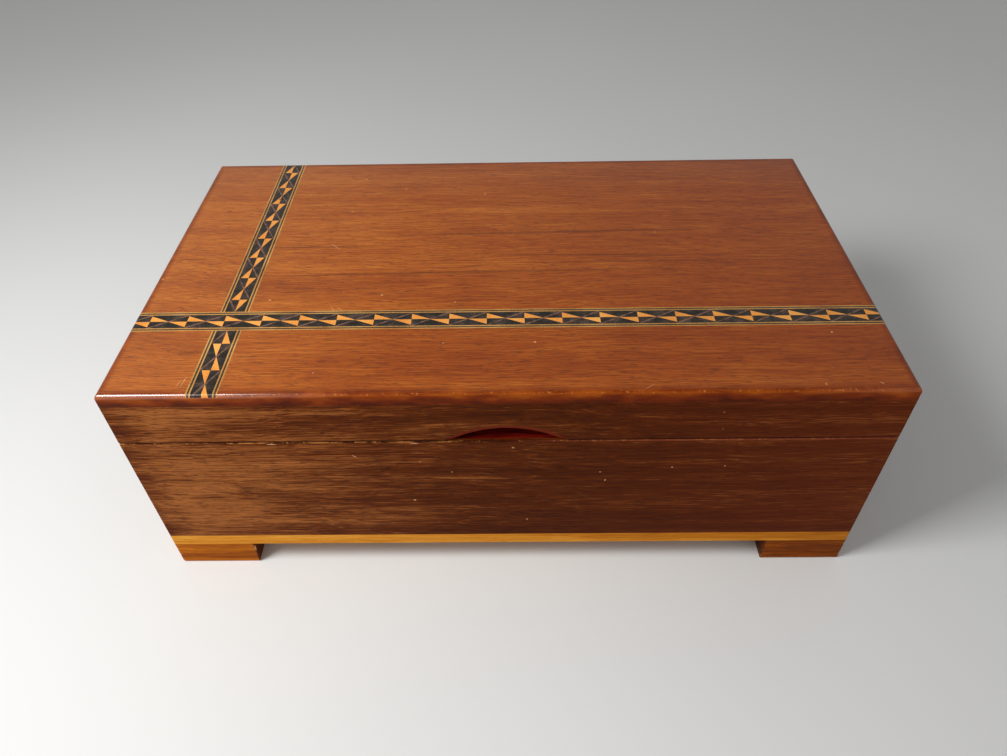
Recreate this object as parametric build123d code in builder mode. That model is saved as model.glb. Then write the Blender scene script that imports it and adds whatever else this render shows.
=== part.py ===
from build123d import *
import os
from math import asin, degrees, pi, radians, sqrt, tan

# Musical jewelry box in millimetres: +Z up, front towards -Y, origin on the floor under the
# middle of the case. The lid is closed.

# How far a cutting shape runs past what it cuts
overcut = 1.0

# Case
case_width = 266.0
case_depth = 152.0
wall_thickness = 9.5
base_thickness = 5.6
body_height = 54.8
lid_height = 23.0
seam_gap = 0.3
corner_radius = 0.5
seam_edge_radius = 0.4

# Feet
foot_height = 12.6
foot_length = 32.0
foot_depth = 20.0
foot_taper = 0.6
foot_edge_radius = 0.8

# Lid
top_board_thickness = 5.0
top_edge_radius = 1.5
notch_width = 44.0
notch_height = 7.7
notch_bevel_height = 2.4
notch_bevel_depth = 1.0
notch_depth = 6.0

# Marquetry banding in the top board
inlay_depth = 1.0
core_width = 7.2
light_line_width = 0.5
dark_line_width = 0.65
triangle_height = 2.9
triangle_gap = 0.12
triangle_spacing = 13.4
long_band_from_front = 37.6
cross_band_from_left = 35.0
long_band_first_node = 5.85
front_band_first_node = 12.0
rear_band_first_node = 49.9

# Hinges
hinge_inset = 45.0
leaf_length = 32.0
leaf_reach = 7.0
leaf_thickness = 1.0
knuckle_radius = 2.0
knuckle_gap = 0.15
knuckle_count = 5
hinge_clearance = 0.25
hinge_pin_radius = 0.9
running_fit = 0.05
lid_opening = 98.0
bevel_margin = 2.0
hinge_screw_spacing = 10.0
hinge_screw_head = 1.9
hinge_screw_shank = 1.0
hinge_screw_length = 8.0

# Base screws
base_screw_head = 3.2
base_screw_shank = 1.6
base_screw_length = 16.0
base_screw_spacing = 120.0
screw_slot_width = 0.5
screw_slot_depth = 0.4

# Inside of the case
partition_thickness = 4.0
partition_height = 34.0
movement_bay_depth = 60.5
ledge_width = 5.0
ledge_height = 6.0
glass_thickness = 2.0
glass_recess = 0.5
glass_play = 0.3
pad_height = 6.4
pad_play = 0.5
pad_corner = 4.0
pad_crown_radius = 2600.0
pad_roll = 2.2
pad_tuck = 1.0
ring_roll_count = 5
ring_roll_height = 15.0
ring_roll_gap = 0.8
ring_roll_play = 0.6
ring_roll_end_radius = 1.5

# Mirror in the lid
mirror_thickness = 3.0
mirror_margin = 14.0
mirror_frame_width = 8.0
mirror_frame_height = 5.0
mirror_rebate = 3.0
mirror_frame_round = 1.0

# Movement: bedplate
movement_gap = 1.5
bedplate_thickness = 2.0
bedplate_left = 14.5
bedplate_edge = 0.8
bedplate_front = 30.0
bedplate_back = 24.5
bedplate_corner = 2.0
sheet_thickness = 1.2
movement_screw_head = 1.8
movement_screw_head_height = 1.2
movement_screw_shank = 0.9
movement_screw_bite = 1.8
bedplate_screw_head = 2.2
bedplate_screw_shank = 1.2
bedplate_screw_bite = 4.4
bedplate_screw_inset = 3.5

# Teeth, as shares of the module or of the pitch
pressure_angle = 20.0
tooth_share = 0.40
tooth_addendum = 0.95
tooth_dedendum = 1.25
root_flare = 0.6
tip_taper = 1.25
tooth_sink = 0.1

# Movement: spring barrel and winding
barrel_radius = 10.5
barrel_wall = 0.8
barrel_height = 9.0
flange_height = 6.0
flange_thickness = 1.0
crown_teeth = 48
crown_radius = 12.1
crown_face = 1.8
crown_dedendum = 0.6
crown_addendum = 0.45
arbor_radius = 2.0
arbor_hub_radius = 3.2
arbor_top_radius = 1.5
arbor_hole_radius = 5.0
end_play = 0.1
barrel_cover_thickness = 1.0
bridge_width = 8.0
bridge_gap = 0.6
bridge_foot = 6.5
bridge_clearance = 0.6
mainspring_thickness = 0.35
mainspring_pitch = 0.9
mainspring_margin = 0.25
clutch_wire = 0.7
clutch_turns = 3.0
clutch_gap = 0.12
key_hub_radius = 3.5
key_hub_height = 4.6
key_wing_length = 24.0
key_wing_height = 7.0
key_wing_thickness = 1.8
key_wing_overlap = 2.0
key_clearance = 1.0
arbor_collar_thickness = 0.5

# Movement: cylinder
cylinder_radius = 6.5
cylinder_length = 20.0
cylinder_wall = 0.8
cylinder_arbor_radius = 1.0
cylinder_pinion_teeth = 12
cylinder_pinion_face = 1.2
cylinder_wheel_teeth = 40
cylinder_wheel_face = 1.2
wheel_module = 0.4
pin_radius = 0.22
pin_height = 0.9
pin_depth = 0.4
pin_turns = 7
bracket_gap = 0.4
bracket_width = 8.0
bracket_margin = 2.4
bracket_tab = 3.6
bracket_tab_offset = 8.6
right_bracket_trim = 0.6

# Movement: comb
comb_tooth_count = 18
comb_tooth_pitch = 1.0
comb_slot_width = 0.2
comb_tooth_length = 12.5
comb_tooth_thickness = 0.7
comb_base_depth = 9.0
comb_base_thickness = 1.8
comb_base_margin = 2.5
comb_tip_gap = 0.12
comb_screw_head = 2.0
comb_screw_head_height = 1.4
comb_screw_shank = 1.1
comb_screw_bite = 5.0
comb_screw_spacing = 12.0

# Movement: governor
governor_pinion_teeth = 10
governor_arbor_radius = 0.8
worm_wheel_teeth = 30
worm_wheel_face = 1.2
worm_pitch_radius = 1.5
worm_core_radius = 1.0
worm_turns = 7
worm_pivot_radius = 0.6
mesh_gap = 0.05
governor_frame_left = 1.4
governor_frame_width = 11.0
worm_wheel_gap = 1.8
pinion_overhang = 0.2
governor_headroom = 0.5
governor_frame_front = 8.8
governor_frame_back = 21.0
governor_tab_length = 4.2
governor_tab_width = 6.0
governor_tab_shift = 2.0
lever_lug_inset = 4.0
lever_lug_rise = 2.0
fan_radius = 5.2
fan_height = 2.4
fan_thickness = 0.5
fan_clearance = 0.3
fan_hub_radius = 1.4

# Stop work
stop_pin_radius = 1.25
stop_pin_travel = 2.0
stop_pin_inset = 3.5
stop_gap = 0.15
stop_slot_width = 3.0
stop_slot_margin = 1.2
lever_thickness = 1.0
lever_arm_width = 1.8
lever_hub_radius = 2.1
lever_front_arm = 5.0
lever_finger_overlap = 1.6
lever_nose_radius = 0.8
lever_stud_radius = 1.0
lever_stud_head = 1.8
lever_pivot_lift = 0.5

# Levels and sides worked out from the sizes above
base_bottom = foot_height
base_top = base_bottom + base_thickness
seam = base_top + body_height
total_height = seam + lid_height
rim = seam - seam_gap / 2
lid_bottom = seam + seam_gap / 2
lid_board_bottom = total_height - top_board_thickness
front = -case_depth / 2
back = case_depth / 2
left = -case_width / 2
right = case_width / 2
inner_front = front + wall_thickness
inner_back = back - wall_thickness
inner_left = left + wall_thickness
inner_right = right - wall_thickness
hinge_y = back - knuckle_radius
bevel_slope = tan(radians((lid_opening + bevel_margin) / 2))
tooth_lean = tan(radians(pressure_angle))

os.makedirs("parts", exist_ok=True)


def write(piece, name):
    """Names a finished piece and writes it to its own file."""
    piece.part.label = name
    export_step(piece.part, f"parts/{name}.step")


def screw_profile(head, head_height, shank, length, flat_head):
    """Half section of a screw in the XZ plane, head at the top, its seat at z = 0."""
    with BuildSketch(Plane.XZ) as section:
        with BuildLine():
            if flat_head:
                Polyline((0, 0), (head, 0), (shank, shank - head), (shank, -length), (0, -length), close=True)
            else:
                Polyline(
                    (0, head_height), (head, head_height), (head, 0), (shank, 0),
                    (shank, -length), (0, -length), close=True,
                )
        make_face()
    return section.sketch


def screw_pair(head, head_height, shank, length, flat_head=False):
    """A screw with its slot, and the same screw unslotted, which cuts the hole that it fills."""
    with BuildPart() as blank:
        add(screw_profile(head, head_height, shank, length, flat_head))
        revolve(axis=Axis.Z)
    with BuildPart() as slotted:
        add(blank.part)
        with Locations((0, 0, head_height)):
            Box(3 * head, screw_slot_width, 2 * screw_slot_depth, mode=Mode.SUBTRACT)
    return slotted.part, blank.part


def gear_face(teeth, module, first_tooth=0.0):
    """Outline of a small clock wheel with straight-sided teeth."""
    pitch_radius = teeth * module / 2
    root_radius = pitch_radius - tooth_dedendum * module
    tip_radius = pitch_radius + tooth_addendum * module
    half_pitch = tooth_share * pi * module / 2
    half_root = half_pitch + tooth_lean * root_flare * (pitch_radius - root_radius)
    half_tip = half_pitch - tooth_lean * tip_taper * (tip_radius - pitch_radius)
    inside = root_radius - tooth_sink
    with BuildSketch() as tooth:
        Polygon(
            (inside, -half_root), (root_radius, -half_root), (pitch_radius, -half_pitch),
            (tip_radius, -half_tip), (tip_radius, half_tip), (pitch_radius, half_pitch),
            (root_radius, half_root), (inside, half_root), align=None,
        )
    with BuildSketch() as wheel:
        Circle(root_radius)
        with PolarLocations(0, teeth, start_angle=first_tooth):
            add(tooth.sketch)
    return wheel.sketch


# Case walls, mitred at the corners

with BuildSketch() as outer_outline:
    RectangleRounded(case_width, case_depth, corner_radius)

with BuildSketch() as front_plan:
    Polygon((left, front), (right, front), (inner_right, inner_front), (inner_left, inner_front), align=None)
    add(outer_outline.sketch, mode=Mode.INTERSECT)

with BuildSketch() as left_plan:
    Polygon((left, front), (inner_left, inner_front), (inner_left, inner_back), (left, back), align=None)
    add(outer_outline.sketch, mode=Mode.INTERSECT)

with BuildPart() as hinge_groove:
    groove_reach = back + overcut - hinge_y
    with BuildSketch(Plane.YZ.offset(left - overcut)):
        Polygon(
            (hinge_y, seam), (hinge_y + groove_reach, seam - groove_reach * bevel_slope),
            (hinge_y + groove_reach, seam + groove_reach * bevel_slope), align=None,
        )
    extrude(amount=case_width + 2 * overcut)


def eased_block(low, high, eased_face):
    """The whole outline between two levels, its edge rounded at the lowest or the highest face."""
    with BuildPart() as block:
        with BuildSketch(Plane.XY.offset(low)):
            add(outer_outline.sketch)
        extrude(amount=high - low)
        fillet(block.faces().sort_by(Axis.Z)[eased_face].edges(), radius=seam_edge_radius)
    return block.part


lowest, highest = 0, -1
case_block = eased_block(base_top, rim, highest)
lid_block = eased_block(lid_bottom, lid_board_bottom, lowest)


def wall_board(plan, turned, block):
    """One mitred board out of a block, bevelled where the lid swings at the back."""
    with BuildPart() as board:
        with BuildSketch():
            if turned:
                add(plan.rotate(Axis.Z, 180))
            else:
                add(plan)
        extrude(amount=total_height)
        add(block, mode=Mode.INTERSECT)
        add(hinge_groove.part, mode=Mode.SUBTRACT)
    return board.part


# Hinge parts: leaves, knuckles, pins and screws

hinge_places = (left + hinge_inset, right - hinge_inset)
knuckle_length = (leaf_length - (knuckle_count - 1) * knuckle_gap) / knuckle_count
knuckle_step = knuckle_length + knuckle_gap
knuckle_starts = [i * knuckle_step - leaf_length / 2 for i in range(knuckle_count)]
hinge_screw_y = hinge_y - (knuckle_radius + hinge_clearance + leaf_reach) / 2
hinge_screw, hinge_screw_blank = screw_pair(
    hinge_screw_head, 0, hinge_screw_shank, hinge_screw_length, flat_head=True
)
hinge_screw_places = [
    (x + i * hinge_screw_spacing, hinge_screw_y) for x in hinge_places for i in (-1, 0, 1)
]


def leaf(own, others, bottom, bore):
    """One hinge leaf with its own knuckles, cut away round the other leaf's."""
    with BuildPart() as plate:
        for x in hinge_places:
            with BuildSketch(Plane.XY.offset(bottom)):
                with Locations((x, hinge_y - leaf_reach / 2)):
                    Rectangle(leaf_length, leaf_reach)
            extrude(amount=leaf_thickness)
            for i in others:
                with BuildSketch(Plane.YZ.offset(x + knuckle_starts[i] - knuckle_gap)):
                    with Locations((hinge_y, seam)):
                        Circle(knuckle_radius + hinge_clearance)
                extrude(amount=knuckle_length + 2 * knuckle_gap, mode=Mode.SUBTRACT)
            for i in own:
                with BuildSketch(Plane.YZ.offset(x + knuckle_starts[i])):
                    with Locations((hinge_y, seam)):
                        Circle(knuckle_radius)
                extrude(amount=knuckle_length)
            with BuildSketch(Plane.YZ.offset(x - leaf_length / 2)):
                with Locations((hinge_y, seam)):
                    Circle(bore)
            extrude(amount=leaf_length, mode=Mode.SUBTRACT)
    return plate.part


own_knuckles = range(0, knuckle_count, 2)
lid_knuckles = range(1, knuckle_count, 2)

with BuildPart() as case_hinge_leaves:
    add(leaf(own_knuckles, lid_knuckles, rim - leaf_thickness, hinge_pin_radius))
    with Locations(*[(x, y, rim) for x, y in hinge_screw_places]):
        add(hinge_screw_blank, mode=Mode.SUBTRACT)

with BuildPart() as lid_hinge_leaves:
    add(leaf(lid_knuckles, own_knuckles, lid_bottom, hinge_pin_radius + running_fit))
    with Locations(*[Location((x, y, lid_bottom), (180, 0, 0)) for x, y in hinge_screw_places]):
        add(hinge_screw_blank, mode=Mode.SUBTRACT)

with BuildPart() as hinge_pins:
    for x in hinge_places:
        with BuildSketch(Plane.YZ.offset(x - leaf_length / 2)):
            with Locations((hinge_y, seam)):
                Circle(hinge_pin_radius)
        extrude(amount=leaf_length)

with BuildPart() as case_hinge_screws:
    with Locations(*[(x, y, rim) for x, y in hinge_screw_places]):
        add(hinge_screw)

with BuildPart() as lid_hinge_screws:
    with Locations(*[Location((x, y, lid_bottom), (180, 0, 0)) for x, y in hinge_screw_places]):
        add(hinge_screw)

with BuildPart() as hinge_mortises:
    for x in hinge_places:
        with BuildSketch(Plane.XY.offset(rim - leaf_thickness)):
            with Locations((x, hinge_y - leaf_reach / 2)):
                Rectangle(leaf_length, leaf_reach)
        extrude(amount=lid_bottom - rim + 2 * leaf_thickness)
        with BuildSketch(Plane.YZ.offset(x - leaf_length / 2 - hinge_clearance)):
            with Locations((hinge_y, seam)):
                Circle(knuckle_radius + hinge_clearance)
        extrude(amount=leaf_length + 2 * hinge_clearance)

write(case_hinge_leaves, "case_hinge_leaves")
write(lid_hinge_leaves, "lid_hinge_leaves")
write(hinge_pins, "hinge_pins")
write(case_hinge_screws, "case_hinge_screws")
write(lid_hinge_screws, "lid_hinge_screws")

# Places inside the case. The movement's own zero is the barrel's axis on the base board.

movement_x = inner_left + movement_gap + bedplate_left
movement_y = inner_back - end_play - bedplate_back
front_partition_y = inner_back - movement_bay_depth
cylinder_pinion_radius = cylinder_pinion_teeth * crown_radius / crown_teeth
crown_module = 2 * crown_radius / crown_teeth
crown_base = flange_height + flange_thickness
axis_rise = crown_base + crown_dedendum + cylinder_pinion_radius
cylinder_start = crown_radius + crown_face / 2 + bracket_gap + sheet_thickness + bracket_gap
cylinder_end = cylinder_start + cylinder_length
wheel_start = cylinder_end + bracket_gap
wheel_end = wheel_start + cylinder_wheel_face
right_bracket_start = wheel_end + bracket_gap + pinion_overhang
wheel_radius = cylinder_wheel_teeth * wheel_module / 2
governor_pinion_radius = governor_pinion_teeth * wheel_module / 2
governor_y = wheel_radius + governor_pinion_radius + mesh_gap
worm_wheel_radius = worm_wheel_teeth * wheel_module / 2
worm_y = governor_y + worm_wheel_radius + worm_pitch_radius + mesh_gap
frame_start = cylinder_end - governor_frame_left
frame_end = frame_start + governor_frame_width
worm_x = frame_end - sheet_thickness - worm_wheel_gap - worm_wheel_face / 2
frame_top = axis_rise + worm_wheel_radius + wheel_module + governor_headroom + sheet_thickness
bedplate_right = frame_end + governor_tab_length + bedplate_edge
movement_bay_width = bedplate_left + bedplate_right + 2 * movement_gap
side_partition_x = inner_left + movement_bay_width
lever_plane = worm_x + fan_radius + stop_gap
lever_y = bedplate_back - lever_hub_radius
lever_rise = frame_top + lever_pivot_lift
fan_bottom = lever_rise + lever_hub_radius + fan_clearance
lever_finger_rise = fan_bottom + lever_finger_overlap - lever_rise
stop_pin_y = inner_back + stop_pin_inset
stop_pin_x = movement_x + lever_plane + lever_thickness / 2
lever_rear_arm = stop_pin_y - movement_y - lever_y
lever_axis_z = base_top + lever_rise
stop_pin_bottom = lever_axis_z + lever_nose_radius + stop_gap
stop_pin_top = lid_bottom - stop_gap

# Case boards

base_screw, base_screw_blank = screw_pair(
    base_screw_head, 0, base_screw_shank, base_screw_length, flat_head=True
)
wall_middle = wall_thickness / 2
base_screw_places = [
    (x, y) for x in (-base_screw_spacing / 2, base_screw_spacing / 2)
    for y in (front + wall_middle, back - wall_middle)
]
base_screw_places += [(left + wall_middle, 0), (right - wall_middle, 0)]
base_screw_spots = [Location((x, y, base_bottom), (180, 0, 0)) for x, y in base_screw_places]

with BuildPart() as front_board:
    add(wall_board(front_plan.sketch, False, case_block))
    with Locations(*base_screw_spots):
        add(base_screw_blank, mode=Mode.SUBTRACT)

with BuildPart() as left_end_board:
    add(wall_board(left_plan.sketch, False, case_block))
    with Locations(*base_screw_spots):
        add(base_screw_blank, mode=Mode.SUBTRACT)

with BuildPart() as right_end_board:
    add(wall_board(left_plan.sketch, True, case_block))
    with Locations(*base_screw_spots):
        add(base_screw_blank, mode=Mode.SUBTRACT)

stop_slot_bottom = lever_axis_z - lever_nose_radius - stop_slot_margin
stop_slot_top = lever_axis_z + lever_nose_radius + stop_pin_travel + stop_slot_margin
stop_slot_depth = stop_pin_inset + stop_pin_radius + stop_gap

with BuildPart() as back_board:
    add(wall_board(front_plan.sketch, True, case_block))
    add(hinge_mortises.part, mode=Mode.SUBTRACT)
    with Locations(*[(x, y, rim) for x, y in hinge_screw_places]):
        add(hinge_screw_blank, mode=Mode.SUBTRACT)
    with Locations(*base_screw_spots):
        add(base_screw_blank, mode=Mode.SUBTRACT)
    with BuildSketch(Plane.XY.offset(stop_slot_bottom)):
        with Locations((stop_pin_x, inner_back + stop_slot_depth / 2)):
            Rectangle(stop_slot_width, stop_slot_depth)
    extrude(amount=stop_slot_top - stop_slot_bottom, mode=Mode.SUBTRACT)
    with Locations((stop_pin_x, stop_pin_y, rim)):
        Hole(stop_pin_radius + running_fit, depth=rim - stop_slot_bottom)

key_hole = (movement_x, movement_y)

bedplate_screw, bedplate_screw_blank = screw_pair(
    bedplate_screw_head, movement_screw_head_height, bedplate_screw_shank,
    bedplate_thickness + bedplate_screw_bite,
)
bedplate_screw_spots = [
    (movement_x - bedplate_left + bedplate_screw_inset, movement_y - bedplate_front + bedplate_screw_inset),
    (movement_x + bedplate_right - bedplate_screw_inset, movement_y - bedplate_front + bedplate_screw_inset),
    (movement_x - bedplate_left + bedplate_screw_inset, movement_y + bedplate_back - bedplate_screw_inset),
]
bedplate_screw_places = [(x, y, base_top + bedplate_thickness) for x, y in bedplate_screw_spots]

with BuildPart() as base_board:
    with BuildSketch(Plane.XY.offset(base_bottom)):
        add(outer_outline.sketch)
        with Locations(key_hole):
            Circle(arbor_hole_radius, mode=Mode.SUBTRACT)
    extrude(amount=base_thickness)
    with Locations(*base_screw_spots):
        add(base_screw_blank, mode=Mode.SUBTRACT)
    with Locations(*bedplate_screw_places):
        add(bedplate_screw_blank, mode=Mode.SUBTRACT)

with BuildPart() as base_screws:
    with Locations(*base_screw_spots):
        add(base_screw)

write(front_board, "front_board")
write(left_end_board, "left_end_board")
write(right_end_board, "right_end_board")
write(back_board, "back_board")
write(base_board, "base_board")
write(base_screws, "base_screws")

# Feet: a block at each corner, whose inner end leans in towards the floor

with BuildPart() as foot_block:
    with BuildSketch(Plane.XZ.offset(-front)):
        Polygon(
            (left, base_bottom), (left, 0), (left + foot_length - foot_taper, 0),
            (left + foot_length, base_bottom), align=None,
        )
    extrude(amount=-foot_depth)
    with BuildSketch():
        add(outer_outline.sketch)
    extrude(amount=base_bottom, mode=Mode.INTERSECT)
    fillet(foot_block.faces().sort_by(Axis.Z)[lowest].edges(), radius=foot_edge_radius)

for name, sides in (
    ("foot_front_left", ()),
    ("foot_front_right", (Plane.YZ,)),
    ("foot_back_left", (Plane.XZ,)),
    ("foot_back_right", (Plane.YZ, Plane.XZ)),
):
    with BuildPart() as foot:
        add(foot_block.part)
        for side in sides:
            mirror(about=side, mode=Mode.REPLACE)
    write(foot, name)

# Lid: top board on four mitred rails

with BuildPart() as lid_blank:
    with BuildSketch(Plane.XY.offset(lid_board_bottom)):
        add(outer_outline.sketch)
    extrude(amount=top_board_thickness)
    fillet(lid_blank.faces().sort_by(Axis.Z)[highest].edges(), radius=top_edge_radius)

line_group = 2 * light_line_width + dark_line_width
band_width = core_width + 2 * line_group
long_band_y = front + long_band_from_front
cross_band_x = left + cross_band_from_left
inlay_floor = total_height - inlay_depth
front_reach = long_band_y - band_width / 2 - front
rear_reach = back - long_band_y - band_width / 2


def stripe(offset, width):
    """One strip of all three lengths of banding, at an offset from the bands' middle lines."""
    with BuildSketch(Plane.XY.offset(inlay_floor)) as strip:
        with Locations((0, long_band_y + offset)):
            Rectangle(case_width, width)
        with Locations((cross_band_x + offset, front + front_reach / 2)):
            Rectangle(width, front_reach)
        with Locations((cross_band_x + offset, back - rear_reach / 2)):
            Rectangle(width, rear_reach)
    return strip.sketch


def inlay(sketch, taken_out=None):
    """A layer of banding let into the top board, with its ends rounded over like the board's edge."""
    with BuildPart() as layer:
        add(sketch)
        extrude(amount=inlay_depth)
        if taken_out:
            add(taken_out, mode=Mode.SUBTRACT)
        add(lid_blank.part, mode=Mode.INTERSECT)
    return layer


half_spacing = triangle_spacing / 2
long_count = int((case_width - long_band_first_node) // triangle_spacing) + 1
front_count = int((front_reach - front_band_first_node) // triangle_spacing) + 1
rear_count = int((case_depth - rear_band_first_node) // triangle_spacing) + 1

# A pair of triangles: one over the middle line that points right, one under it that points left

low_edge = triangle_gap / 2
high_edge = low_edge + triangle_height

with BuildSketch() as triangle_pair:
    Polygon((0, low_edge), (half_spacing, low_edge), (0, high_edge), align=None)
    Polygon((0, -low_edge), (-half_spacing, -low_edge), (0, -high_edge), align=None)

with BuildSketch() as mirrored_pair:
    add(triangle_pair.sketch)
    mirror(about=Plane.YZ, mode=Mode.REPLACE)

with BuildSketch(Plane.XY.offset(inlay_floor)) as triangle_shapes:
    for i in range(long_count):
        with Locations((left + long_band_first_node + i * triangle_spacing, long_band_y)):
            add(triangle_pair.sketch)
    for i in range(-1, front_count):
        y = front + front_band_first_node + i * triangle_spacing
        with Locations(Location((cross_band_x, y, 0), (0, 0, 90))):
            add(mirrored_pair.sketch)
    for i in range(rear_count):
        y = front + rear_band_first_node + i * triangle_spacing
        with Locations(Location((cross_band_x, y, 0), (0, 0, 90))):
            add(triangle_pair.sketch)
    add(stripe(0, core_width), mode=Mode.INTERSECT)

inner_line = core_width / 2 + light_line_width / 2
middle_line = core_width / 2 + light_line_width + dark_line_width / 2
outer_line = core_width / 2 + line_group - light_line_width / 2

with BuildSketch(Plane.XY.offset(inlay_floor)) as light_shapes:
    for offset in (inner_line, outer_line, -inner_line, -outer_line):
        add(stripe(offset, light_line_width))

with BuildSketch(Plane.XY.offset(inlay_floor)) as dark_shapes:
    for offset in (middle_line, -middle_line):
        add(stripe(offset, dark_line_width))

inlay_triangles = inlay(triangle_shapes.sketch)
inlay_light_lines = inlay(light_shapes.sketch)
inlay_dark_lines = inlay(dark_shapes.sketch)
inlay_ground = inlay(stripe(0, core_width), inlay_triangles.part)

with BuildPart() as lid_top_board:
    add(lid_blank.part)
    with BuildSketch(Plane.XY.offset(inlay_floor)):
        add(stripe(0, band_width))
    extrude(amount=2 * inlay_depth, mode=Mode.SUBTRACT)

write(lid_top_board, "lid_top_board")
write(inlay_triangles, "inlay_triangles")
write(inlay_light_lines, "inlay_light_lines")
write(inlay_dark_lines, "inlay_dark_lines")
write(inlay_ground, "inlay_ground")


def notch_outline(width, height):
    """A shallow arc that stands on the rail's lower edge, with a little below it to cut through."""
    with BuildLine() as outline:
        arch = ThreePointArc((-width / 2, lid_bottom), (0, lid_bottom + height), (width / 2, lid_bottom))
        Polyline(arch @ 1, (width / 2, seam - seam_gap), (-width / 2, seam - seam_gap), arch @ 0)
    return outline.line


inner_notch_height = notch_height - notch_bevel_height
inner_notch_width = notch_width * sqrt(inner_notch_height / notch_height)

with BuildPart() as lid_front_rail:
    add(wall_board(front_plan.sketch, False, lid_block))
    with BuildSketch(Plane.XZ.offset(-front)):
        add(notch_outline(notch_width, notch_height))
        make_face()
    with BuildSketch(Plane.XZ.offset(-front - notch_bevel_depth)):
        add(notch_outline(inner_notch_width, inner_notch_height))
        make_face()
    loft(mode=Mode.SUBTRACT)
    with BuildSketch(Plane.XZ.offset(-front - notch_bevel_depth)):
        add(notch_outline(inner_notch_width, inner_notch_height))
        make_face()
    extrude(amount=notch_bevel_depth - notch_depth, mode=Mode.SUBTRACT)

with BuildPart() as lid_left_rail:
    add(wall_board(left_plan.sketch, False, lid_block))

with BuildPart() as lid_right_rail:
    add(wall_board(left_plan.sketch, True, lid_block))

with BuildPart() as lid_back_rail:
    add(wall_board(front_plan.sketch, True, lid_block))
    add(hinge_mortises.part, mode=Mode.SUBTRACT)
    with Locations(*[Location((x, y, lid_bottom), (180, 0, 0)) for x, y in hinge_screw_places]):
        add(hinge_screw_blank, mode=Mode.SUBTRACT)

write(lid_front_rail, "lid_front_rail")
write(lid_left_rail, "lid_left_rail")
write(lid_right_rail, "lid_right_rail")
write(lid_back_rail, "lid_back_rail")

# Mirror under the top board, held by a frame of four mitred strips

mirror_width = inner_right - inner_left - 2 * mirror_margin
mirror_depth = inner_back - inner_front - 2 * mirror_margin
mirror_bottom = lid_board_bottom - mirror_thickness
frame_outer_width = mirror_width + 2 * (mirror_frame_width - mirror_rebate)
frame_outer_depth = mirror_depth + 2 * (mirror_frame_width - mirror_rebate)

with BuildPart() as lid_mirror:
    with BuildSketch(Plane.XY.offset(mirror_bottom)):
        Rectangle(mirror_width, mirror_depth)
    extrude(amount=mirror_thickness)

with BuildPart() as mirror_frame:
    with BuildSketch(Plane.XY.offset(lid_board_bottom)):
        Rectangle(frame_outer_width, frame_outer_depth)
        Rectangle(
            frame_outer_width - 2 * mirror_frame_width, frame_outer_depth - 2 * mirror_frame_width,
            mode=Mode.SUBTRACT,
        )
    extrude(amount=-mirror_frame_height)
    add(lid_mirror.part, mode=Mode.SUBTRACT)
    fillet(mirror_frame.faces().sort_by(Axis.Z)[lowest].edges(), radius=mirror_frame_round)

write(lid_mirror, "lid_mirror")
write(mirror_frame, "mirror_frame")

# Partitions, ledges and the glass over the movement

partition_top = base_top + partition_height
glass_top = partition_top - glass_recess
glass_bottom = glass_top - glass_thickness

with BuildPart() as movement_side_partition:
    with BuildSketch(Plane.XY.offset(base_top)):
        with Locations((side_partition_x + partition_thickness / 2, 0)):
            Rectangle(partition_thickness, inner_back - inner_front)
    extrude(amount=partition_height)

with BuildPart() as movement_front_partition:
    with BuildSketch(Plane.XY.offset(base_top)):
        with Locations((inner_left + movement_bay_width / 2, front_partition_y - partition_thickness / 2)):
            Rectangle(movement_bay_width, partition_thickness)
    extrude(amount=partition_height)

with BuildPart() as glass_ledges:
    with BuildSketch(Plane.XY.offset(glass_bottom)):
        for x in (inner_left + ledge_width / 2, side_partition_x - ledge_width / 2):
            with Locations((x, inner_back - movement_bay_depth / 2)):
                Rectangle(ledge_width, movement_bay_depth)
    extrude(amount=-ledge_height)

with BuildPart() as movement_glass:
    with BuildSketch(Plane.XY.offset(glass_bottom)):
        with Locations((inner_left + movement_bay_width / 2, inner_back - movement_bay_depth / 2)):
            Rectangle(movement_bay_width - 2 * glass_play, movement_bay_depth - 2 * glass_play)
    extrude(amount=glass_thickness)

write(movement_side_partition, "movement_side_partition")
write(movement_front_partition, "movement_front_partition")
write(glass_ledges, "glass_ledges")
write(movement_glass, "movement_glass")

# Soft pieces: rolls that grip rings, and a crowned pad on the main floor

roll_bay_depth = front_partition_y - partition_thickness - inner_front
roll_step = (roll_bay_depth - ring_roll_play) / ring_roll_count
roll_width = roll_step - ring_roll_gap
roll_side_height = ring_roll_height - roll_width / 2

with BuildPart() as ring_rolls:
    with BuildSketch(Plane.YZ.offset(inner_left + ring_roll_play)):
        for i in range(ring_roll_count):
            middle = inner_front + ring_roll_play / 2 + (i + 0.5) * roll_step
            with BuildLine():
                arch = CenterArc((middle, base_top + roll_side_height), roll_width / 2, 0, 180)
                Polyline(
                    arch @ 1, (middle - roll_width / 2, base_top),
                    (middle + roll_width / 2, base_top), arch @ 0,
                )
            make_face()
    extrude(amount=movement_bay_width - 2 * ring_roll_play)
    roll_ends = ring_rolls.faces().filter_by(Axis.X).edges().filter_by(GeomType.CIRCLE)
    fillet(roll_ends, radius=ring_roll_end_radius)

pad_left = side_partition_x + partition_thickness + pad_play
pad_right = inner_right - pad_play
pad_width = pad_right - pad_left
pad_depth = inner_back - inner_front - 2 * pad_play
pad_middle = (pad_left + pad_right) / 2

with BuildPart() as jewellery_pad:
    with BuildSketch(Plane.XY.offset(base_top)):
        with Locations((pad_middle, 0)):
            RectangleRounded(pad_width, pad_depth, pad_corner)
    extrude(amount=pad_height)
    with Locations((pad_middle, 0, base_top + pad_height - pad_crown_radius)):
        Sphere(pad_crown_radius, mode=Mode.INTERSECT)
    fillet(jewellery_pad.faces().sort_by(Axis.Z)[highest].edges(), radius=pad_roll)
    fillet(jewellery_pad.faces().sort_by(Axis.Z)[lowest].edges(), radius=pad_tuck)

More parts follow.
